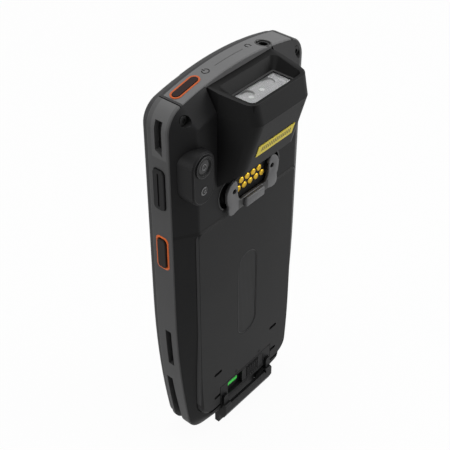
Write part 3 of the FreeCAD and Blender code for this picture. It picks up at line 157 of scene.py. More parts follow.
# Gasket round the scanner's window
GASKET_WIDTH = 0.95 * MM
GASKET_HEIGHT = 0.2 * MM
GASKET_SUNK = 0.02 * MM

# Contact studs: two staggered rows of (height, count)
STUD_RADIUS = 1.48 * MM
STUD_DOME = 0.5 * MM
STUD_PITCH = 3.68 * MM
STUD_ROWS = ((137.0 * MM, 4), (133.73 * MM, 5))
STUD_FRONT = -2.5 * MM
STUD_BACK = -0.9 * MM

# Grip bracket: one ear's outline (across, up) with its inner edge, the plate and the handle
EAR_INNER = ((7.6, 129.7), (8.6, 130.4), (9.3, 131.6), (9.7, 133.6), (9.7, 135.8), (9.8, 138.0))
EAR_OUTLINE = (
    (10.3, 139.6), (11.0, 140.3), (12.4, 140.4), (14.2, 139.6), (15.6, 138.0), (16.3, 136.0),
    (16.3, 133.6), (15.9, 131.4), (15.2, 130.0), (15.3, 128.8), (15.5, 127.4), (15.0, 125.6),
    (13.8, 124.7), (12.2, 124.6), (10.8, 125.0), (9.6, 125.3))
BRACKET_FRONT = -4.1 * MM
BRACKET_BACK = -2.7 * MM
BRACKET_EDGE = 0.35 * MM
HANDLE_HALF_WIDTH = 5.9 * MM
HANDLE_LOW = 124.9 * MM
HANDLE_HIGH = 129.4 * MM
HANDLE_FRONT = -5.4 * MM
HANDLE_EDGE = 0.7 * MM
GRIP_HOLE_X = 11.8 * MM
GRIP_HOLE_Z = 135.6 * MM
GRIP_HOLE_RADIUS = 1.1 * MM
HOLE_TOOL_LENGTH = 10 * MM

# Ridge round an ear: its middle line, width, height and edge
RIDGE_PATH = (
    (14.2, 140.9), (15.6, 140.4), (17.2, 139.2), (18.4, 137.4), (18.95, 135.4), (18.9, 133.4),
    (18.4, 131.4), (17.4, 129.6), (16.2, 128.2))
RIDGE_WIDTH = 0.7 * MM
RIDGE_HEIGHT = 0.4 * MM
RIDGE_EDGE = 0.16 * MM

# Camera and flash on their island: (across, up)
CAMERA_AT = (-31.0 * MM, 158.5 * MM)
FLASH_AT = (-31.0 * MM, 147.6 * MM)
ISLAND_FACE = -5.3 * MM
FLASH_RADIUS = 1.5 * MM
FLASH_STROKE = 0.5 * MM
FLASH_HEIGHT = 0.12 * MM
FLASH_SPOT_OFFSET = (0.3 * MM, -0.2 * MM)
FLASH_SPOT_RADIUS = 0.42 * MM
FLASH_SPOT_THICKNESS = 0.4 * MM
# Painted highlight along the island's edge, drawn as a paler bead: its radius and thickness
ISLAND_HIGHLIGHT_RADIUS = 5.35 * MM
ISLAND_HIGHLIGHT_THICKNESS = 0.16 * MM

# Badge recess in the battery, left bare
BADGE_Z = 72.65 * MM
BADGE_RADIUS = 6.4 * MM
BADGE_STRAIGHT = 17.35 * MM
BADGE_GAP = 0.15 * MM
BADGE_FLOOR = 0.31 * MM
BADGE_PLATE = 0.12 * MM
BADGE_LINE_INSET = 0.3 * MM
BADGE_LINE_THICKNESS = 0.36 * MM
BADGE_LINE_FLOOR = 0.16 * MM
BATTERY_FACE = -1.8 * MM

# Padlock signs by the latch: (name, across, up, how far the hoop goes round in degrees)
LATCH_SIGNS = (("lock_closed", -7.1, 27.6, 180), ("lock_open", 9.6, 27.6, 120))
LATCH_SIGN_DEPTH = 0.05 * MM
LATCH_SIGN_HEIGHT = 1.1 * MM
LATCH_SIGN_HALF_WIDTH = 0.75 * MM
LATCH_HOOP_RADIUS = 0.48 * MM
LATCH_HOOP_STROKE = 0.2 * MM

# Front keys' legends and signs
LEGEND_ROWS = (("1", "2", "3"), ("4", "5", "6"), ("7", "8", "9"), ("*", "0", "#"))
LEGEND_SIZE = 5.0 * MM
LEGEND_DEPTH = 0.05 * MM
MENU_SIGN = ((2.0, 1.4), (0.2, 1.4), (-1.6, 0), (0.2, -1.4), (2.0, -1.4))
SCAN_SIGN = ((-3.0, 0), (3.0, 0))
SCAN_STROKE = 0.6 * MM
BACK_SIGN_RADIUS = 1.5 * MM
SIGN_STROKE = 0.5 * MM


class Wire:
    """A number carried between shader nodes, which takes part in Python expressions."""

    def __init__(self, tree, socket):
        self.tree = tree
        self.socket = socket

    def combine(self, operation, first, second=None):
        node = self.tree.nodes.new("ShaderNodeMath")
        node.operation = operation
        for slot, value in zip(node.inputs, (first, second)):
            if isinstance(value, Wire):
                self.tree.links.new(value.socket, slot)
            elif value is not None:
                slot.default_value = value
        return Wire(self.tree, node.outputs[0])

    def __add__(self, other):
        return self.combine("ADD", self, other)

    def __sub__(self, other):
        return self.combine("SUBTRACT", self, other)

    def __mul__(self, other):
        return self.combine("MULTIPLY", self, other)

    def __truediv__(self, other):
        return self.combine("DIVIDE", self, other)

    def __rsub__(self, other):
        return self.combine("SUBTRACT", other, self)

    def above(self, limit):
        return self.combine("GREATER_THAN", self, limit)

    def either(self, other):
        return self.combine("MAXIMUM", self, other)

    def remainder(self, step):
        return self.combine("FLOORED_MODULO", self, step)

    def size(self):
        return self.combine("ABSOLUTE", self)


class Finish:
    """A material: a Principled shader with constants, and a method that makes any other node."""

    def __init__(self, name, **constants):
        self.material = bpy.data.materials.new(name)
        self.material.use_nodes = True
        self.tree = self.material.node_tree
        self.shader = self.tree.nodes["Principled BSDF"]
        for socket, value in constants.items():
            self.shader.inputs[socket.replace("_", " ")].default_value = value

    def node(self, kind, output, **inputs):
        """A node of a kind, with its sockets given values or links."""
        node = self.tree.nodes.new(kind)
        for socket, value in inputs.items():
            self.feed(node.inputs[socket.replace("_", " ")], value)
        return Wire(self.tree, node.outputs[output])

    def feed(self, socket, value):
        if isinstance(value, Wire):
            self.tree.links.new(value.socket, socket)
        else:
            socket.default_value = value

    def drive(self, **inputs):
        for socket, value in inputs.items():
            self.feed(self.shader.inputs[socket.replace("_", " ")], value)

    def place(self):
        return self.node("ShaderNodeTexCoord", "Object")

    def axes(self):
        """How far across (X), deep (Y) and up (Z) a point of the surface lies, in metres."""
        split = self.node("ShaderNodeSeparateXYZ", 0, Vector=self.place())
        return [Wire(self.tree, output) for output in split.socket.node.outputs]

    def noise(self, grain, detail):
        """Noise whose grains have about the given size in metres."""
        return self.node("ShaderNodeTexNoise", "Fac", Vector=self.place(), Scale=1.0 / grain,
                         Detail=detail, Roughness=0.5)

    def blend(self, mask, first, second):
        """A colour that goes from the first to the second as a mask goes from 0 to 1."""
        node = self.tree.nodes.new("ShaderNodeMix")
        node.data_type = "RGBA"
        self.feed(node.inputs["Factor"], mask)
        for slot, value in ((6, first), (7, second)):
            if isinstance(value, Wire):
                self.tree.links.new(value.socket, node.inputs[slot])
            else:
                node.inputs[slot].default_value = (*value, 1.0)
        return Wire(self.tree, node.outputs[2])

    def bump(self, height, depth):
        return self.node("ShaderNodeBump", "Normal", Height=height, Distance=depth)


def shade(colour, factor):
    return tuple(channel * factor for channel in colour)


def moulded(name, colour, roughness, grain=0.35, depth=0.02, mottle=0.12, specular=0.4,
            zones=()):
    """Spark-textured moulded plastic with faint mottle and zones of (mask, colour) on it."""
    finish = Finish(name, Specular_IOR_Level=specular)
    fine = finish.noise(grain * MM, detail=3.0)
    broad = finish.noise(MOTTLE_SIZE, detail=2.0)
    base = finish.blend(broad, shade(colour, 1 - mottle), shade(colour, 1 + mottle))
    for mask, zone_colour in zones:
        base = finish.blend(mask(*finish.axes()), base, zone_colour)
    finish.drive(
        Base_Color=base,
        Roughness=fine * MOULD_ROUGHNESS_SPAN + (roughness - MOULD_ROUGHNESS_SPAN / 2),
        Normal=finish.bump(fine, depth * MM))
    return finish.material


def glossy(name, colour, roughness=0.12, coat=0.3, specular=0.5):
    """Smooth plastic or glass that shows no light through, with the slight wave of a moulding."""
    finish = Finish(name, Coat_Weight=coat, Coat_Roughness=0.05, Specular_IOR_Level=specular)
    wave = finish.noise(25 * MM, detail=1.0)
    dust = finish.noise(1.5 * MM, detail=4.0)
    finish.drive(
        Base_Color=finish.blend(dust, colour, shade(colour, 1.15)),
        Roughness=dust * 0.06 + roughness,
        Normal=finish.bump(wave, 0.02 * MM))
    return finish.material


def metal(name, colour, roughness, brush=0.3):
    """Plated or painted metal with a fine grain."""
    finish = Finish(name, Metallic=1.0)
    grain = finish.noise(brush * MM, detail=4.0)
    finish.drive(
        Base_Color=finish.blend(grain, shade(colour, 0.85), shade(colour, 1.1)),
        Roughness=grain * METAL_ROUGHNESS_SPAN + (roughness - METAL_ROUGHNESS_DROP),
        Normal=finish.bump(grain, 0.006 * MM))
    return finish.material


def clear_window(name):
    """The scanner's window: clear plastic that tints a little and shines at low angles."""
    finish = Finish(name, Roughness=0.04, Transmission_Weight=1.0, IOR=1.3)
    smear = finish.noise(6 * MM, detail=2.0)
    finish.drive(Base_Color=finish.blend(smear, (0.86, 0.87, 0.88), (0.95, 0.95, 0.95)))
    return finish.material


def knurled(name, colour):
    """The bare badge: a pattern of fine dots on a darker ground."""
    finish = Finish(name, Specular_IOR_Level=0.12)
    across, depth, up = finish.axes()
    dot_x = (across.remainder(KNURL_PITCH) - KNURL_PITCH / 2).size()
    dot_z = (up.remainder(KNURL_PITCH) - KNURL_PITCH / 2).size()
    height = 1 - (dot_x + dot_z) / KNURL_PITCH
    finish.drive(
        Base_Color=finish.blend(height, shade(colour, 0.7), shade(colour, 1.3)),
        Roughness=height * 0.1 + 0.42,
        Normal=finish.bump(height, 0.08 * MM))
    return finish.material


def funnel_painted_shade(across, depth, up):
    """Painted shade inside the hood's mouth, which is wider towards the trim."""
    half_width = depth / MM * FUNNEL_SLOPE + FUNNEL_HALF_WIDTH
    inside = 1 - (across.size() / MM - half_width).above(0.0)
    return inside * (depth / MM).above(FUNNEL_FRONT_Y) * (up / MM).above(FUNNEL_LOW_Z)


def battery_top_painted_shade(across, depth, up):
    """Painted shade on the battery's top edge, where it meets the housing, darkening its chamfer.
    """
    return (up / MM).above(BATTERY_TOP_Z)


def battery_rim_painted_highlight(across, depth, up):
    """Painted highlight along the battery's two long edges, paler along their chamfers."""
    return (across.size() / MM).above(BATTERY_RIM_X)


def housing_seam_painted_shade(across, depth, up):
    """Painted shade on the housing's edge above the battery, darkening its chamfer."""
    return 1 - (up / MM - SEAM_Z).size().above(SEAM_HALF_HEIGHT)


def trim_edge(across, depth, up):
    """The trim's edge towards the display and its two ends, dark as the seams beside them."""
    return (depth / MM).above(TRIM_DARK_Y).either((across.size() / MM).above(TRIM_DARK_X))


def bracket_steps_painted_shade(across, depth, up):
    """Painted shade on the low steps between the bracket's ears and its handle."""
    near = across.size() / MM
    beside_handle = near.above(HANDLE_HALF_WIDTH / MM) * (1 - near.above(STEP_OUTER_X))
    return beside_handle * (1 - (up / MM).above(STEP_TOP_Z))


def lanyard_recess_painted_light(across, depth, up):
    """Painted light: the side band's paler patch round its lanyard opening, where the real band is
    recessed.
    """
    beside = (depth / MM - INSET_Y).size().above(INSET_HALF_WIDTH)
    beyond = (up / MM - INSET_Z).size().above(INSET_HALF_LENGTH)
    return (1 - beside) * (1 - beyond)


def bar_edge(across, depth, up):
    """The strap bar's dark lower edge between its legs."""
    return (1 - (up / MM).above(BAR_DARK_TOP_Z)) * (1 - (across.size() / MM).above(BAR_DARK_X))


def power_key_zone(across, depth, up):
    """The power key among the side keys: the one at the top."""
    return (up / MM).above(POWER_KEY_LOW_Z)


FINISHES = {
    "rear_shell": moulded("rear_black_plastic", (0.0075, 0.0075, 0.0078), 0.5, specular=0.1,
                          # dark band above the battery: painted shade over the chamfer's highlight
                          zones=[(housing_seam_painted_shade, (0.004, 0.004, 0.004))]),
    "hood_shell": moulded("hood_black_plastic", (0.006, 0.006, 0.0062), 0.5, specular=0.09,
                          # near-black inside the hood's mouth: painted shade
                          zones=[(funnel_painted_shade, (0.0006, 0.0006, 0.0006))]),
    "battery_shell": moulded("battery_black_plastic", (0.0105, 0.0105, 0.0107), 0.5, specular=0.1,
                             # paler long edges: painted highlight along the chamfers
                             zones=[(battery_rim_painted_highlight, (0.034, 0.034, 0.0345)),
                                    # dark top edge: painted shade over the chamfer's highlight
                                    (battery_top_painted_shade, (0.003, 0.003, 0.003))]),
    "front_shell": moulded("front_grey_plastic", (0.022, 0.022, 0.0225), 0.5, specular=0.2),
    "side_band": moulded("band_grey_plastic", (0.056, 0.056, 0.0565), 0.55, depth=0.015,
                         # paler patch round the lanyard opening: painted light for its recess
                         specular=0.15, zones=[(lanyard_recess_painted_light, (0.078, 0.078, 0.0785))]),
    "end_trim": moulded("trim_grey_plastic", (0.092, 0.092, 0.093), 0.55, depth=0.015,
                        specular=0.12, zones=[(trim_edge, (0.022, 0.022, 0.0225))]),
    "key_rubber": moulded("keypad_rubber", (0.012, 0.012, 0.012), 0.7, specular=0.2),
    "keypad_key": moulded("keypad_key_plastic", (0.030, 0.030, 0.031), 0.45, depth=0.01,
                          specular=0.3),
    "scan_key": moulded("scan_key_plastic", (0.013, 0.009, 0.007), 0.45, depth=0.01, specular=0.1),
    "side_key": moulded("side_key_plastic", (0.007, 0.007, 0.0073), 0.42, depth=0.01, specular=0.1,
                        zones=[(power_key_zone, (0.009, 0.003, 0.0025))]),
    "frame_trim": moulded("orange_plastic", (0.62, 0.115, 0.014), 0.42, depth=0.008, mottle=0.05,
                          specular=0.25),
    "power_ring": moulded("orange_ring_plastic", (0.31, 0.058, 0.009), 0.42, depth=0.008,
                          mottle=0.05, specular=0.2),
    "inner_frame": moulded("frame_black_plastic", (0.008, 0.008, 0.008), 0.6, specular=0.15),
    "circuit_board": moulded("board_green_mask", (0.01, 0.08, 0.03), 0.4, depth=0.005),
    "speaker_shell": moulded("speaker_black", (0.02, 0.02, 0.02), 0.6),
    "strap_bar": moulded("strap_bar_black", (0.006, 0.006, 0.0062), 0.45, depth=0.01,
                         specular=0.08, zones=[(bar_edge, (0.0008, 0.0008, 0.0008))]),
    "socket_plastic": moulded("socket_black", (0.006, 0.006, 0.006), 0.4, depth=0.005),
    "latch_mark": moulded("mark_green", (0.03, 0.50, 0.05), 0.5, depth=0.004, mottle=0.05),
    "display_glass": glossy("display_black_glass", (0.004, 0.004, 0.005), 0.06),
    "display_panel": glossy("display_dark_panel", (0.006, 0.006, 0.008), 0.15),
    "lens_glass": glossy("lens_dark_glass", (0.004, 0.004, 0.005), 0.15, coat=0.0, specular=0.3),
    "camera_ring": glossy("camera_ring_black", (0.008, 0.008, 0.0082), 0.4, coat=0.0,
                          specular=0.12),
    "flash_lens": glossy("flash_smoked", (0.010, 0.010, 0.010), 0.35, coat=0.0, specular=0.2),
    "status_light": glossy("status_frosted", (0.25, 0.35, 0.25), 0.3),
    "gold_contact": metal("contact_gold", (0.58, 0.37, 0.03), 0.38, brush=0.2),
    "bracket_metal": moulded("bracket_grey_coat", (0.085, 0.085, 0.087), 0.42, depth=0.01,
                             # darker steps beside the handle: painted shade
                             specular=0.25, zones=[(bracket_steps_painted_shade, (0.022, 0.022, 0.022))]),
    "screw_steel": metal("screw_blackened", (0.03, 0.03, 0.03), 0.45),
    "socket_steel": metal("socket_plated", (0.60, 0.60, 0.60), 0.3),
    "grille_mesh": metal("grille_grey", (0.12, 0.12, 0.12), 0.5),
    "scan_engine": moulded("engine_pale_plastic", (0.22, 0.22, 0.22), 0.5, depth=0.01),
    "scan_window": clear_window("scanner_clear_window"),
}
PALE_PRINT = moulded("pale_print", (0.30, 0.30, 0.30), 0.5, depth=0.002)
ENGINE_LAMP = moulded("engine_lamp_white", (0.40, 0.40, 0.40), 0.4, depth=0.002, specular=0.3)
DARK_PRINT = moulded("dark_print", (0.008, 0.008, 0.008), 0.5, depth=0.002, specular=0.05)
GREY_PRINT = moulded("grey_print", (0.055, 0.055, 0.055), 0.5, depth=0.002, specular=0.1)
# Grey for the flash's rings, and for the painted highlight inside the lens
RING_GREY = moulded("ring_grey", (0.11, 0.11, 0.112), 0.5, depth=0.003, specular=0.2)
# Paler beads and outlines; along the camera island's edge this bead is a painted highlight
EDGE_BEAD = moulded("edge_bead_plastic", (0.024, 0.024, 0.0245), 0.4, depth=0.005, specular=0.2)


def dress_nodes():
    """Gives each CAD node the finish of its material slot."""
    slots = {part["node"]: part["material_slot"] for part in frame["record"]["subparts"]}
    for name, node in frame["nodes"].items():
        node.data.materials.clear()
        node.data.materials.append(FINISHES[slots[name]])


def deselect():
    bpy.ops.object.select_all(action="DESELECT")


def pick(piece):
    """Makes one piece the only selected one and the active one."""
    deselect()
    piece.select_set(True)
    bpy.context.view_layer.objects.active = piece


def surface(node, start, direction):
    """Where a ray first meets a node, and the surface's outward normal there."""
    mesh = frame["nodes"][node].data
    tree = BVHTree.FromPolygons([vertex.co for vertex in mesh.vertices],
                                [polygon.vertices for polygon in mesh.polygons])
    point, normal, index, distance = tree.ray_cast(Vector(start), direction)
    if normal.dot(direction) > 0:
        normal = -normal
    return point, normal


def settle(piece, body, material):
    """Puts a piece's place in its mesh, gives it its finish and lets it ride on a body."""
    pick(piece)
    bpy.ops.object.transform_apply(location=True, rotation=True, scale=True)
    bpy.ops.object.shade_smooth_by_angle(angle=SMOOTH_ANGLE)
    piece.data.materials.clear()
    piece.data.materials.append(material)
    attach(piece, body)


def upright_on(normal):
    """A turn that lays local Z along a normal, with local Y as near to +Z as it goes."""
    up = Vector((0, 0, 1))
    forward = normal.normalized()
    up = (up - forward * up.dot(forward)).normalized()
    across = up.cross(forward)
    return Matrix((across, up, forward)).transposed().to_4x4()


def on_the_back(depth):
    """A turn that lays local Z along -Y and local Y along +Z, at a depth."""
    return Matrix.Translation((0, depth, 0)) @ Matrix.Rotation(math.radians(90), 4, "X")


def lay(piece, point, normal, lift=0.0):
    """Turns a piece's local Z out of the surface and sets it down at a point."""
    piece.matrix_world = Matrix.Translation(Vector(point) + normal * lift) @ upright_on(normal)


def named(piece, name):
    piece.name = name
    return piece


def in_metres(points):
    """Points of (across, up) in millimetres, as metres."""
    return [(across * MM, up * MM) for across, up in points]


def rectangle(left, low, right, high):
    return [(left, low), (right, low), (right, high), (left, high)]


def extruded(name, outline, thickness):
    """A flat form with its outline in local X and Y, as thick as asked along local Z."""
    deselect()
    bpy.ops.mesh.primitive_circle_add(vertices=len(outline), radius=1.0, fill_type="NGON")
    piece = named(bpy.context.object, name)
    for vertex, (across, up) in zip(piece.data.vertices, outline):
        vertex.co = (across, up, 0.0)
    bpy.ops.object.mode_set(mode="EDIT")
    bpy.ops.mesh.select_all(action="SELECT")
    bpy.ops.mesh.extrude_region_move(TRANSFORM_OT_translate={"value": (0, 0, thickness)})
    bpy.ops.mesh.select_all(action="SELECT")
    bpy.ops.mesh.normals_make_consistent(inside=False)
    bpy.ops.object.mode_set(mode="OBJECT")
    return piece


def apply_modifier(piece, kind, **settings):
    """Puts a modifier of a kind on a piece and makes its result the piece's own mesh."""
    modifier = piece.modifiers.new("shape", kind)
    for setting, value in settings.items():
        setattr(modifier, setting, value)
    pick(piece)
    bpy.ops.object.modifier_apply(modifier="shape")


def soften(piece, width, segments):
    """Rounds every edge sharper than the softening angle."""
    apply_modifier(piece, "BEVEL", width=width, segments=segments, limit_method="ANGLE",
                   angle_limit=SOFTEN_ANGLE)


def cut_away(piece, tool):
    """Takes a tool's form out of a piece and removes the tool."""
    apply_modifier(piece, "BOOLEAN", object=tool, operation="DIFFERENCE", solver="EXACT")
    bpy.data.objects.remove(tool)


def bead(name, radius, thickness, straight=0.0, segments=64):
    """A round bead along a circle, or along a pill once its two halves are moved apart."""
    deselect()
    bpy.ops.mesh.primitive_torus_add(major_radius=radius, minor_radius=thickness / 2,
                                     major_segments=segments, minor_segments=8)
    piece = named(bpy.context.object, name)
    for vertex in piece.data.vertices:
        vertex.co.y += straight if vertex.co.y > -1e-6 else -straight
    return piece


def join(pieces, name):
    """Makes one piece of several."""
    deselect()
    for piece in pieces:
        piece.select_set(True)
    bpy.context.view_layer.objects.active = pieces[0]
    bpy.ops.object.join()
    return named(bpy.context.object, name)


def ribbon(path, width):
    """The outline of a stroke of a given width along an open path of (across, up) points."""
    left, right = [], []
    for number, (across, up) in enumerate(path):
        before = path[max(number - 1, 0)]
        after = path[min(number + 1, len(path) - 1)]
        run, rise = after[0] - before[0], after[1] - before[1]
        length = math.hypot(run, rise)
        shift_x, shift_y = -rise / length * width / 2, run / length * width / 2
        left.append((across + shift_x, up + shift_y))
        right.append((across - shift_x, up - shift_y))
    return left + right[::-1]


def arc(radius, start, end, steps, centre=(0.0, 0.0)):
    """Points of an arc between two angles in degrees, counted from local X."""
    turns = [math.radians(start + (end - start) * step / steps) for step in range(steps + 1)]
    return [(centre[0] + radius * math.cos(turn), centre[1] + radius * math.sin(turn))
            for turn in turns]


def yellow_plate():
    """A plain yellow plate on the hood's sloping face, with a row of dark ticks printed on it."""
    point, normal = surface("scanner_hood", (0, RAY_START_BEHIND, PLATE_Z), FORWARD)
    deselect()
    bpy.ops.mesh.primitive_cube_add(size=1.0)
    plate = named(bpy.context.object, "yellow_plate")
    size = (PLATE_WIDTH, PLATE_HEIGHT, PLATE_THICKNESS)
    plate.matrix_world = (Matrix.Translation(point + normal * PLATE_THICKNESS * PLATE_LIFT_SHARE)
                          @ upright_on(normal) @ Matrix.Diagonal((*size, 1.0)))
    apply_modifier(plate, "BEVEL", width=PLATE_EDGE_SHARE, segments=2)
    finish = Finish("plate_yellow", Specular_IOR_Level=0.12)
    across, depth, up = finish.axes()
    tick = (across.remainder(TICK_PITCH) / MM).above(TICK_START)
    band = 1 - ((up - PLATE_Z).size() / MM).above(TICK_HALF_HEIGHT)
    inside = 1 - (across.size() / MM).above(TICK_HALF_SPAN)
    grain = finish.noise(0.5 * MM, detail=2.0)
    finish.drive(
        Base_Color=finish.blend(tick * band * inside, (0.52, 0.42, 0.035), (0.045, 0.038, 0.012)),
        Roughness=grain * 0.1 + 0.38)
    settle(plate, "housing", finish.material)


def contact_studs():
    """Nine domed gold studs, one modelled and the rest copied."""
    deselect()
    bpy.ops.mesh.primitive_cylinder_add(vertices=28, radius=STUD_RADIUS,
                                        depth=STUD_BACK - STUD_FRONT,
                                        rotation=(math.radians(90), 0, 0))
    stud = named(bpy.context.object, "contact_stud")
    bpy.ops.object.transform_apply(location=False, rotation=True, scale=False)
    soften(stud, STUD_DOME, segments=4)
    studs = []
    for height, count in STUD_ROWS:
        for number in range(count):
            copy = stud.copy()
            copy.data = stud.data.copy()
            bpy.context.scene.collection.objects.link(copy)
            across = STUD_PITCH * (number - (count - 1) / 2)
            copy.location = (across, (STUD_FRONT + STUD_BACK) / 2, height)
            studs.append(copy)
    bpy.data.objects.remove(stud)
    studs = join(studs, "contact_studs")
    settle(studs, "housing", FINISHES["gold_contact"])
    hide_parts("contact_pins")


def grip_bracket():
    """The bracket's two crescent ears and low bar from one plate, with a raised handle."""
    half = in_metres(EAR_INNER + EAR_OUTLINE)
    outline = half + [(-across, up) for across, up in half[::-1]]
    plate = extruded("bracket_plate", outline, BRACKET_BACK - BRACKET_FRONT)
    plate.matrix_world = on_the_back(BRACKET_BACK)
    for side in (-1, 1):
        deselect()
        bpy.ops.mesh.primitive_cylinder_add(
            vertices=32, radius=GRIP_HOLE_RADIUS, depth=HOLE_TOOL_LENGTH,
            rotation=(math.radians(90), 0, 0),
            location=(GRIP_HOLE_X * side, BRACKET_FRONT, GRIP_HOLE_Z))
        cut_away(plate, bpy.context.object)
    soften(plate, BRACKET_EDGE, segments=3)
    handle = extruded("bracket_handle",
                      rectangle(-HANDLE_HALF_WIDTH, HANDLE_LOW, HANDLE_HALF_WIDTH, HANDLE_HIGH),
                      BRACKET_BACK - HANDLE_FRONT)
    handle.matrix_world = on_the_back(BRACKET_BACK)
    soften(handle, HANDLE_EDGE, segments=3)
    bracket = join([plate, handle], "bracket_shell")
    settle(bracket, "housing", FINISHES["bracket_metal"])
    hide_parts("grip_bracket")


def bracket_ridges():
    """A low round ridge along the recess round each of the bracket's ears."""
    for side, word in ((-1, "left"), (1, "right")):
        path = in_metres([(across * side, up) for across, up in RIDGE_PATH])
        ridge = extruded(f"ear_ridge_{word}", ribbon(path, RIDGE_WIDTH), RIDGE_HEIGHT)
        ridge.matrix_world = on_the_back(BATTERY_FACE + RIDGE_HEIGHT / 2)
        soften(ridge, RIDGE_EDGE, segments=2)
        settle(ridge, "housing", EDGE_BEAD)


def camera_details():
    """Rings round the camera and its lens, a painted highlight inside the lens, a broken ring in
    the flash, and a painted highlight along the island's edge.
    """
    centre = (CAMERA_AT[0], ISLAND_FACE, CAMERA_AT[1])
    for name, radius, thickness, lift, material in (
            ("camera_line", 4.35, 0.26, 0.48, EDGE_BEAD),
            ("lens_step", 3.0, 0.5, 0.0, FINISHES["camera_ring"]),
            # grey ring inside the lens: painted highlight
            ("lens_painted_highlight", 1.15, 0.45, 0.0, RING_GREY)):
        ring = bead(name, radius * MM, thickness * MM)
        lay(ring, centre, BACKWARD, lift=lift * MM)
        settle(ring, "housing", material)
    flash = extruded("flash_ring", ribbon(arc(FLASH_RADIUS, 50, 320, 28), FLASH_STROKE),
                     FLASH_HEIGHT)
    lay(flash, (FLASH_AT[0], ISLAND_FACE, FLASH_AT[1]), BACKWARD)
    settle(flash, "housing", RING_GREY)
    spot = bead("flash_spot", FLASH_SPOT_RADIUS, FLASH_SPOT_THICKNESS, segments=24)
    lay(spot, (FLASH_AT[0] + FLASH_SPOT_OFFSET[0], ISLAND_FACE,
               FLASH_AT[1] + FLASH_SPOT_OFFSET[1]), BACKWARD)
    settle(spot, "housing", RING_GREY)
    middle = (CAMERA_AT[1] + FLASH_AT[1]) / 2
    # A paler bead along the island's edge: painted highlight
    line = bead("island_painted_highlight", ISLAND_HIGHLIGHT_RADIUS, ISLAND_HIGHLIGHT_THICKNESS,
                straight=(CAMERA_AT[1] - FLASH_AT[1]) / 2)
    lay(line, (CAMERA_AT[0], ISLAND_FACE, middle), BACKWARD)
    settle(line, "housing", EDGE_BEAD)


def trim_mark(name, across, along, outline, print_finish):
    """A thin printed mark on the top trim, at a place across and along the trim."""
    point, normal = surface("top_trim", (across, along, RAY_START_ABOVE), DOWNWARD)
    mark = extruded(name, outline, MARK_DEPTH)
    forward = normal.normalized()
    right = Vector((1, 0, 0))
    right = (right - forward * right.dot(forward)).normalized()
    up = forward.cross(right)
    turn = Matrix((right, up, forward)).transposed().to_4x4()
    mark.matrix_world = Matrix.Translation(point - normal * MARK_SUNK) @ turn
    settle(mark, "housing", print_finish)


def trim_marks():
    """A power sign by the power key, a plug sign by the audio socket, a fine line between."""
    power = ribbon(arc(POWER_SIGN_RADIUS, 120, 420, 26), TRIM_STROKE)
    trim_mark("power_sign", POWER_SIGN_X, TRIM_MARK_Y, power, DARK_PRINT)
    stem = ribbon(in_metres(POWER_STEM), TRIM_STROKE)
    trim_mark("power_sign_stem", POWER_SIGN_X, TRIM_MARK_Y, stem, DARK_PRINT)
    plug = ribbon(in_metres(PLUG_SIGN), PLUG_STROKE)
    trim_mark("plug_sign", PLUG_SIGN_X, TRIM_MARK_Y, plug, DARK_PRINT)
    dash = ribbon(in_metres(TRIM_LINE_DASH), TRIM_LINE_STROKE)
    for number in range(TRIM_LINE_PIECES):
        across = (TRIM_LINE_START + TRIM_LINE_STEP * number) * MM
        trim_mark(f"trim_line_{number + 1}", across, TRIM_LINE_Y, dash, GREY_PRINT)


def jack_rings():
    """The audio socket's dark collar in the trim, and the brighter edge of its bore."""
    across, along = JACK_AT
    point, normal = surface("top_trim", (across, along + JACK_CLEAR, RAY_START_ABOVE), DOWNWARD)
    for name, radius, thickness, lift, material in (
            ("jack_collar", 3.15, 0.7, -0.2, FINISHES["socket_plastic"]),
            ("jack_edge", 2.0, 0.4, -0.5, EDGE_BEAD)):
        ring = bead(name, radius * MM, thickness * MM, segments=48)
        lay(ring, (across, along, point.z), normal, lift=lift * MM)
        settle(ring, "housing", material)


def window_gasket():
    """A thin dark gasket along the edge of the scanner's window."""
    low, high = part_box("scanner_window")
    gasket = extruded("window_gasket", rectangle(low[0], low[1], high[0], high[1]), GASKET_HEIGHT)
    inner = extruded("gasket_cut", rectangle(low[0] + GASKET_WIDTH, low[1] + GASKET_WIDTH,
                                             high[0] - GASKET_WIDTH, high[1] - GASKET_WIDTH),
                     4 * MM)
    inner.location.z = -2 * MM
    bpy.context.view_layer.update()
    cut_away(gasket, inner)
    gasket.location.z = high[2] - GASKET_SUNK
    settle(gasket, "housing", FINISHES["socket_plastic"])


def engine_lights():
    """The scan engine's two small pale lamps, each a disc in a collar, under the window."""
    for number, (across, along) in enumerate(in_metres(ENGINE_LAMPS), start=1):
        top = surface("scan_engine", (across, along, ENGINE_RAY_START), DOWNWARD)[0]
        disc = extruded("lamp_disc", arc(ENGINE_LAMP_RADIUS, 0, 345, 23), ENGINE_LAMP_HEIGHT)
        collar = bead("lamp_collar", ENGINE_LAMP_RADIUS, ENGINE_LAMP_COLLAR, segments=28)
        lamp = join([disc, collar], f"engine_lamp_{number}")
        lamp.location = top
        settle(lamp, "housing", ENGINE_LAMP)


def badge():
    """The battery's pill recess, left bare: a knurled plate with a fine raised outline."""
    pill = arc(BADGE_RADIUS - BADGE_GAP, 0, 180, 24, (0, BADGE_STRAIGHT))
    pill += arc(BADGE_RADIUS - BADGE_GAP, 180, 360, 24, (0, -BADGE_STRAIGHT))
    plate = extruded("badge_plate", pill, BADGE_PLATE)
    lay(plate, (0, BATTERY_FACE + BADGE_FLOOR, BADGE_Z), BACKWARD)
    settle(plate, "battery_pack", knurled("badge_knurl", (0.008, 0.008, 0.0082)))
    outline = bead("badge_outline", BADGE_RADIUS - BADGE_LINE_INSET, BADGE_LINE_THICKNESS,
                   straight=BADGE_STRAIGHT)
    lay(outline, (0, BATTERY_FACE + BADGE_LINE_FLOOR, BADGE_Z), BACKWARD)
    settle(outline, "battery_pack", EDGE_BEAD)


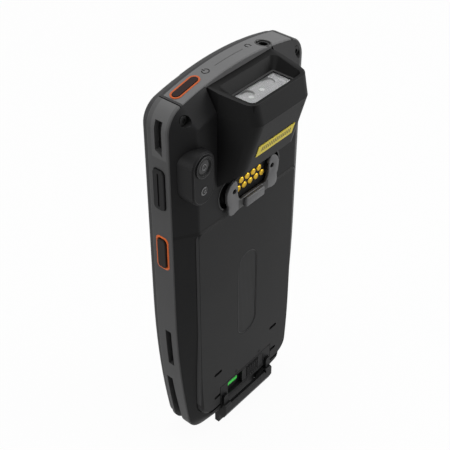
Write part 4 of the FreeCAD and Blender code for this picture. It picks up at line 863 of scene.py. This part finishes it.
def latch_signs():
    """A closed and an open padlock beside the battery's latch."""
    for name, across, up, turn in LATCH_SIGNS:
        body = extruded(name, rectangle(-LATCH_SIGN_HALF_WIDTH, 0, LATCH_SIGN_HALF_WIDTH,
                                        LATCH_SIGN_HEIGHT), LATCH_SIGN_DEPTH)
        hoop_path = arc(LATCH_HOOP_RADIUS, 0, turn, 12, (0, LATCH_SIGN_HEIGHT))
        hoop = extruded(name + "_hoop", ribbon(hoop_path, LATCH_HOOP_STROKE), LATCH_SIGN_DEPTH)
        sign = join([body, hoop], name)
        lay(sign, (across * MM, BATTERY_FACE + MARK_SUNK, up * MM), BACKWARD)
        settle(sign, "battery_pack", DARK_PRINT)


def label_face_hole():
    """The small sensor hole near the top of the hood's sloping face."""
    point, normal = surface("scanner_hood", (FACE_HOLE_AT[0], RAY_START_BEHIND, FACE_HOLE_AT[1]),
                            FORWARD)
    rim = bead("face_hole_rim", *FACE_HOLE_RIM, segments=28)
    lay(rim, point, normal)
    hole = bead("face_hole", *FACE_HOLE_BEAD, segments=20)
    lay(hole, point, normal, lift=-FACE_HOLE_SUNK)
    settle(rim, "housing", EDGE_BEAD)
    settle(hole, "housing", FINISHES["socket_plastic"])


def key_face(key):
    """The middle of a front key's face."""
    low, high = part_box(key)
    return (low[0] + high[0]) / 2, high[1], (low[2] + high[2]) / 2


def key_legends():
    """Plain numbers on the twelve keys, and simple signs on the three keys above them."""
    for row, legends in enumerate(LEGEND_ROWS, start=1):
        for column, legend in zip((3, 2, 1), legends):
            key = f"key_row{row}_{column}"
            deselect()
            bpy.ops.object.text_add()
            text = named(bpy.context.object, f"legend_{key}")
            text.data.body = legend
            text.data.size = LEGEND_SIZE
            text.data.align_x = "CENTER"
            text.data.align_y = "CENTER"
            text.data.extrude = LEGEND_DEPTH
            bpy.ops.object.convert(target="MESH")
            lay(bpy.context.object, key_face(key), FORWARD)
            settle(bpy.context.object, key, PALE_PRINT)
    signs = {
        "key_menu": ribbon(in_metres(MENU_SIGN), SIGN_STROKE),
        "key_scan_front": ribbon(in_metres(SCAN_SIGN), SCAN_STROKE),
        "key_back": ribbon(arc(BACK_SIGN_RADIUS, -60, 240, 20), SIGN_STROKE),
    }
    for key, outline in signs.items():
        sign = extruded(f"sign_{key}", outline, MARK_DEPTH)
        lay(sign, key_face(key), FORWARD, lift=-MARK_SUNK)
        settle(sign, key, PALE_PRINT)


def build_camera():
    camera = bpy.data.objects.new("camera", bpy.data.cameras.new("camera"))
    bpy.context.scene.collection.objects.link(camera)
    camera.data.sensor_width = SENSOR_WIDTH
    camera.data.lens = FOCAL_PIXELS * SENSOR_WIDTH / IMAGE_WIDTH
    camera.data.clip_start = CLIP_START
    camera.location = CAMERA_PLACE
    camera.rotation_euler = (CAMERA_AIM - CAMERA_PLACE).to_track_quat("-Z", "Y").to_euler()
    bpy.context.scene.camera = camera


def softbox(name, place, size, power):
    lamp = bpy.data.objects.new(name, bpy.data.lights.new(name, "AREA"))
    bpy.context.scene.collection.objects.link(lamp)
    lamp.data.shape = "RECTANGLE"
    lamp.data.size, lamp.data.size_y = size
    lamp.data.energy = power
    lamp.location = place
    lamp.rotation_euler = (Vector(LAMP_AIM) - Vector(place)).to_track_quat("-Z", "Y").to_euler()


def background_rays(tree):
    """1 for the rays that show the background: seen straight, mirrored or through glass."""
    path = tree.nodes.new("ShaderNodeLightPath")
    seen, mirrored, through = [Wire(tree, path.outputs[f"Is {kind} Ray"])
                               for kind in ("Camera", "Glossy", "Transmission")]
    return seen.either(mirrored).either(through)


def build_floor():
    """A white floor that keeps the shadow."""
    deselect()
    bpy.ops.mesh.primitive_plane_add(size=FLOOR_SIZE)
    floor = named(bpy.context.object, "floor")
    finish = Finish("floor_white", Base_Color=FLOOR_COLOUR, Roughness=0.9)
    glow = finish.node("ShaderNodeEmission", "Emission", Color=(1, 1, 1, 1), Strength=1.0)
    mix = finish.tree.nodes.new("ShaderNodeMixShader")
    finish.feed(mix.inputs[0], background_rays(finish.tree) * FLOOR_WHITE_SHARE)
    finish.tree.links.new(finish.shader.outputs[0], mix.inputs[1])
    finish.tree.links.new(glow.socket, mix.inputs[2])
    output = finish.tree.nodes["Material Output"]
    finish.tree.links.new(mix.outputs[0], output.inputs[0])
    floor.data.materials.append(finish.material)


def build_world():
    """A world that lights in plain grey and shows as white."""
    world = bpy.data.worlds.new("studio")
    bpy.context.scene.world = world
    world.use_nodes = True
    tree = world.node_tree
    ground = tree.nodes["Background"]
    ground.inputs["Color"].default_value = WORLD_GREY
    shown = tree.nodes.new("ShaderNodeBackground")
    shown.inputs["Color"].default_value = (1, 1, 1, 1)
    mix = tree.nodes.new("ShaderNodeMixShader")
    tree.links.new(background_rays(tree).socket, mix.inputs[0])
    tree.links.new(ground.outputs[0], mix.inputs[1])
    tree.links.new(shown.outputs[0], mix.inputs[2])
    tree.links.new(mix.outputs[0], tree.nodes["World Output"].inputs[0])


def build_studio():
    build_floor()
    build_world()
    for name, place, size, power in SOFTBOXES:
        softbox(name, place, size, power)
    bpy.context.scene.view_settings.view_transform = "Standard"


build_camera()
dress_nodes()
yellow_plate()
contact_studs()
grip_bracket()
bracket_ridges()
camera_details()
trim_marks()
jack_rings()
window_gasket()
engine_lights()
badge()
latch_signs()
label_face_hole()
key_legends()
build_studio()
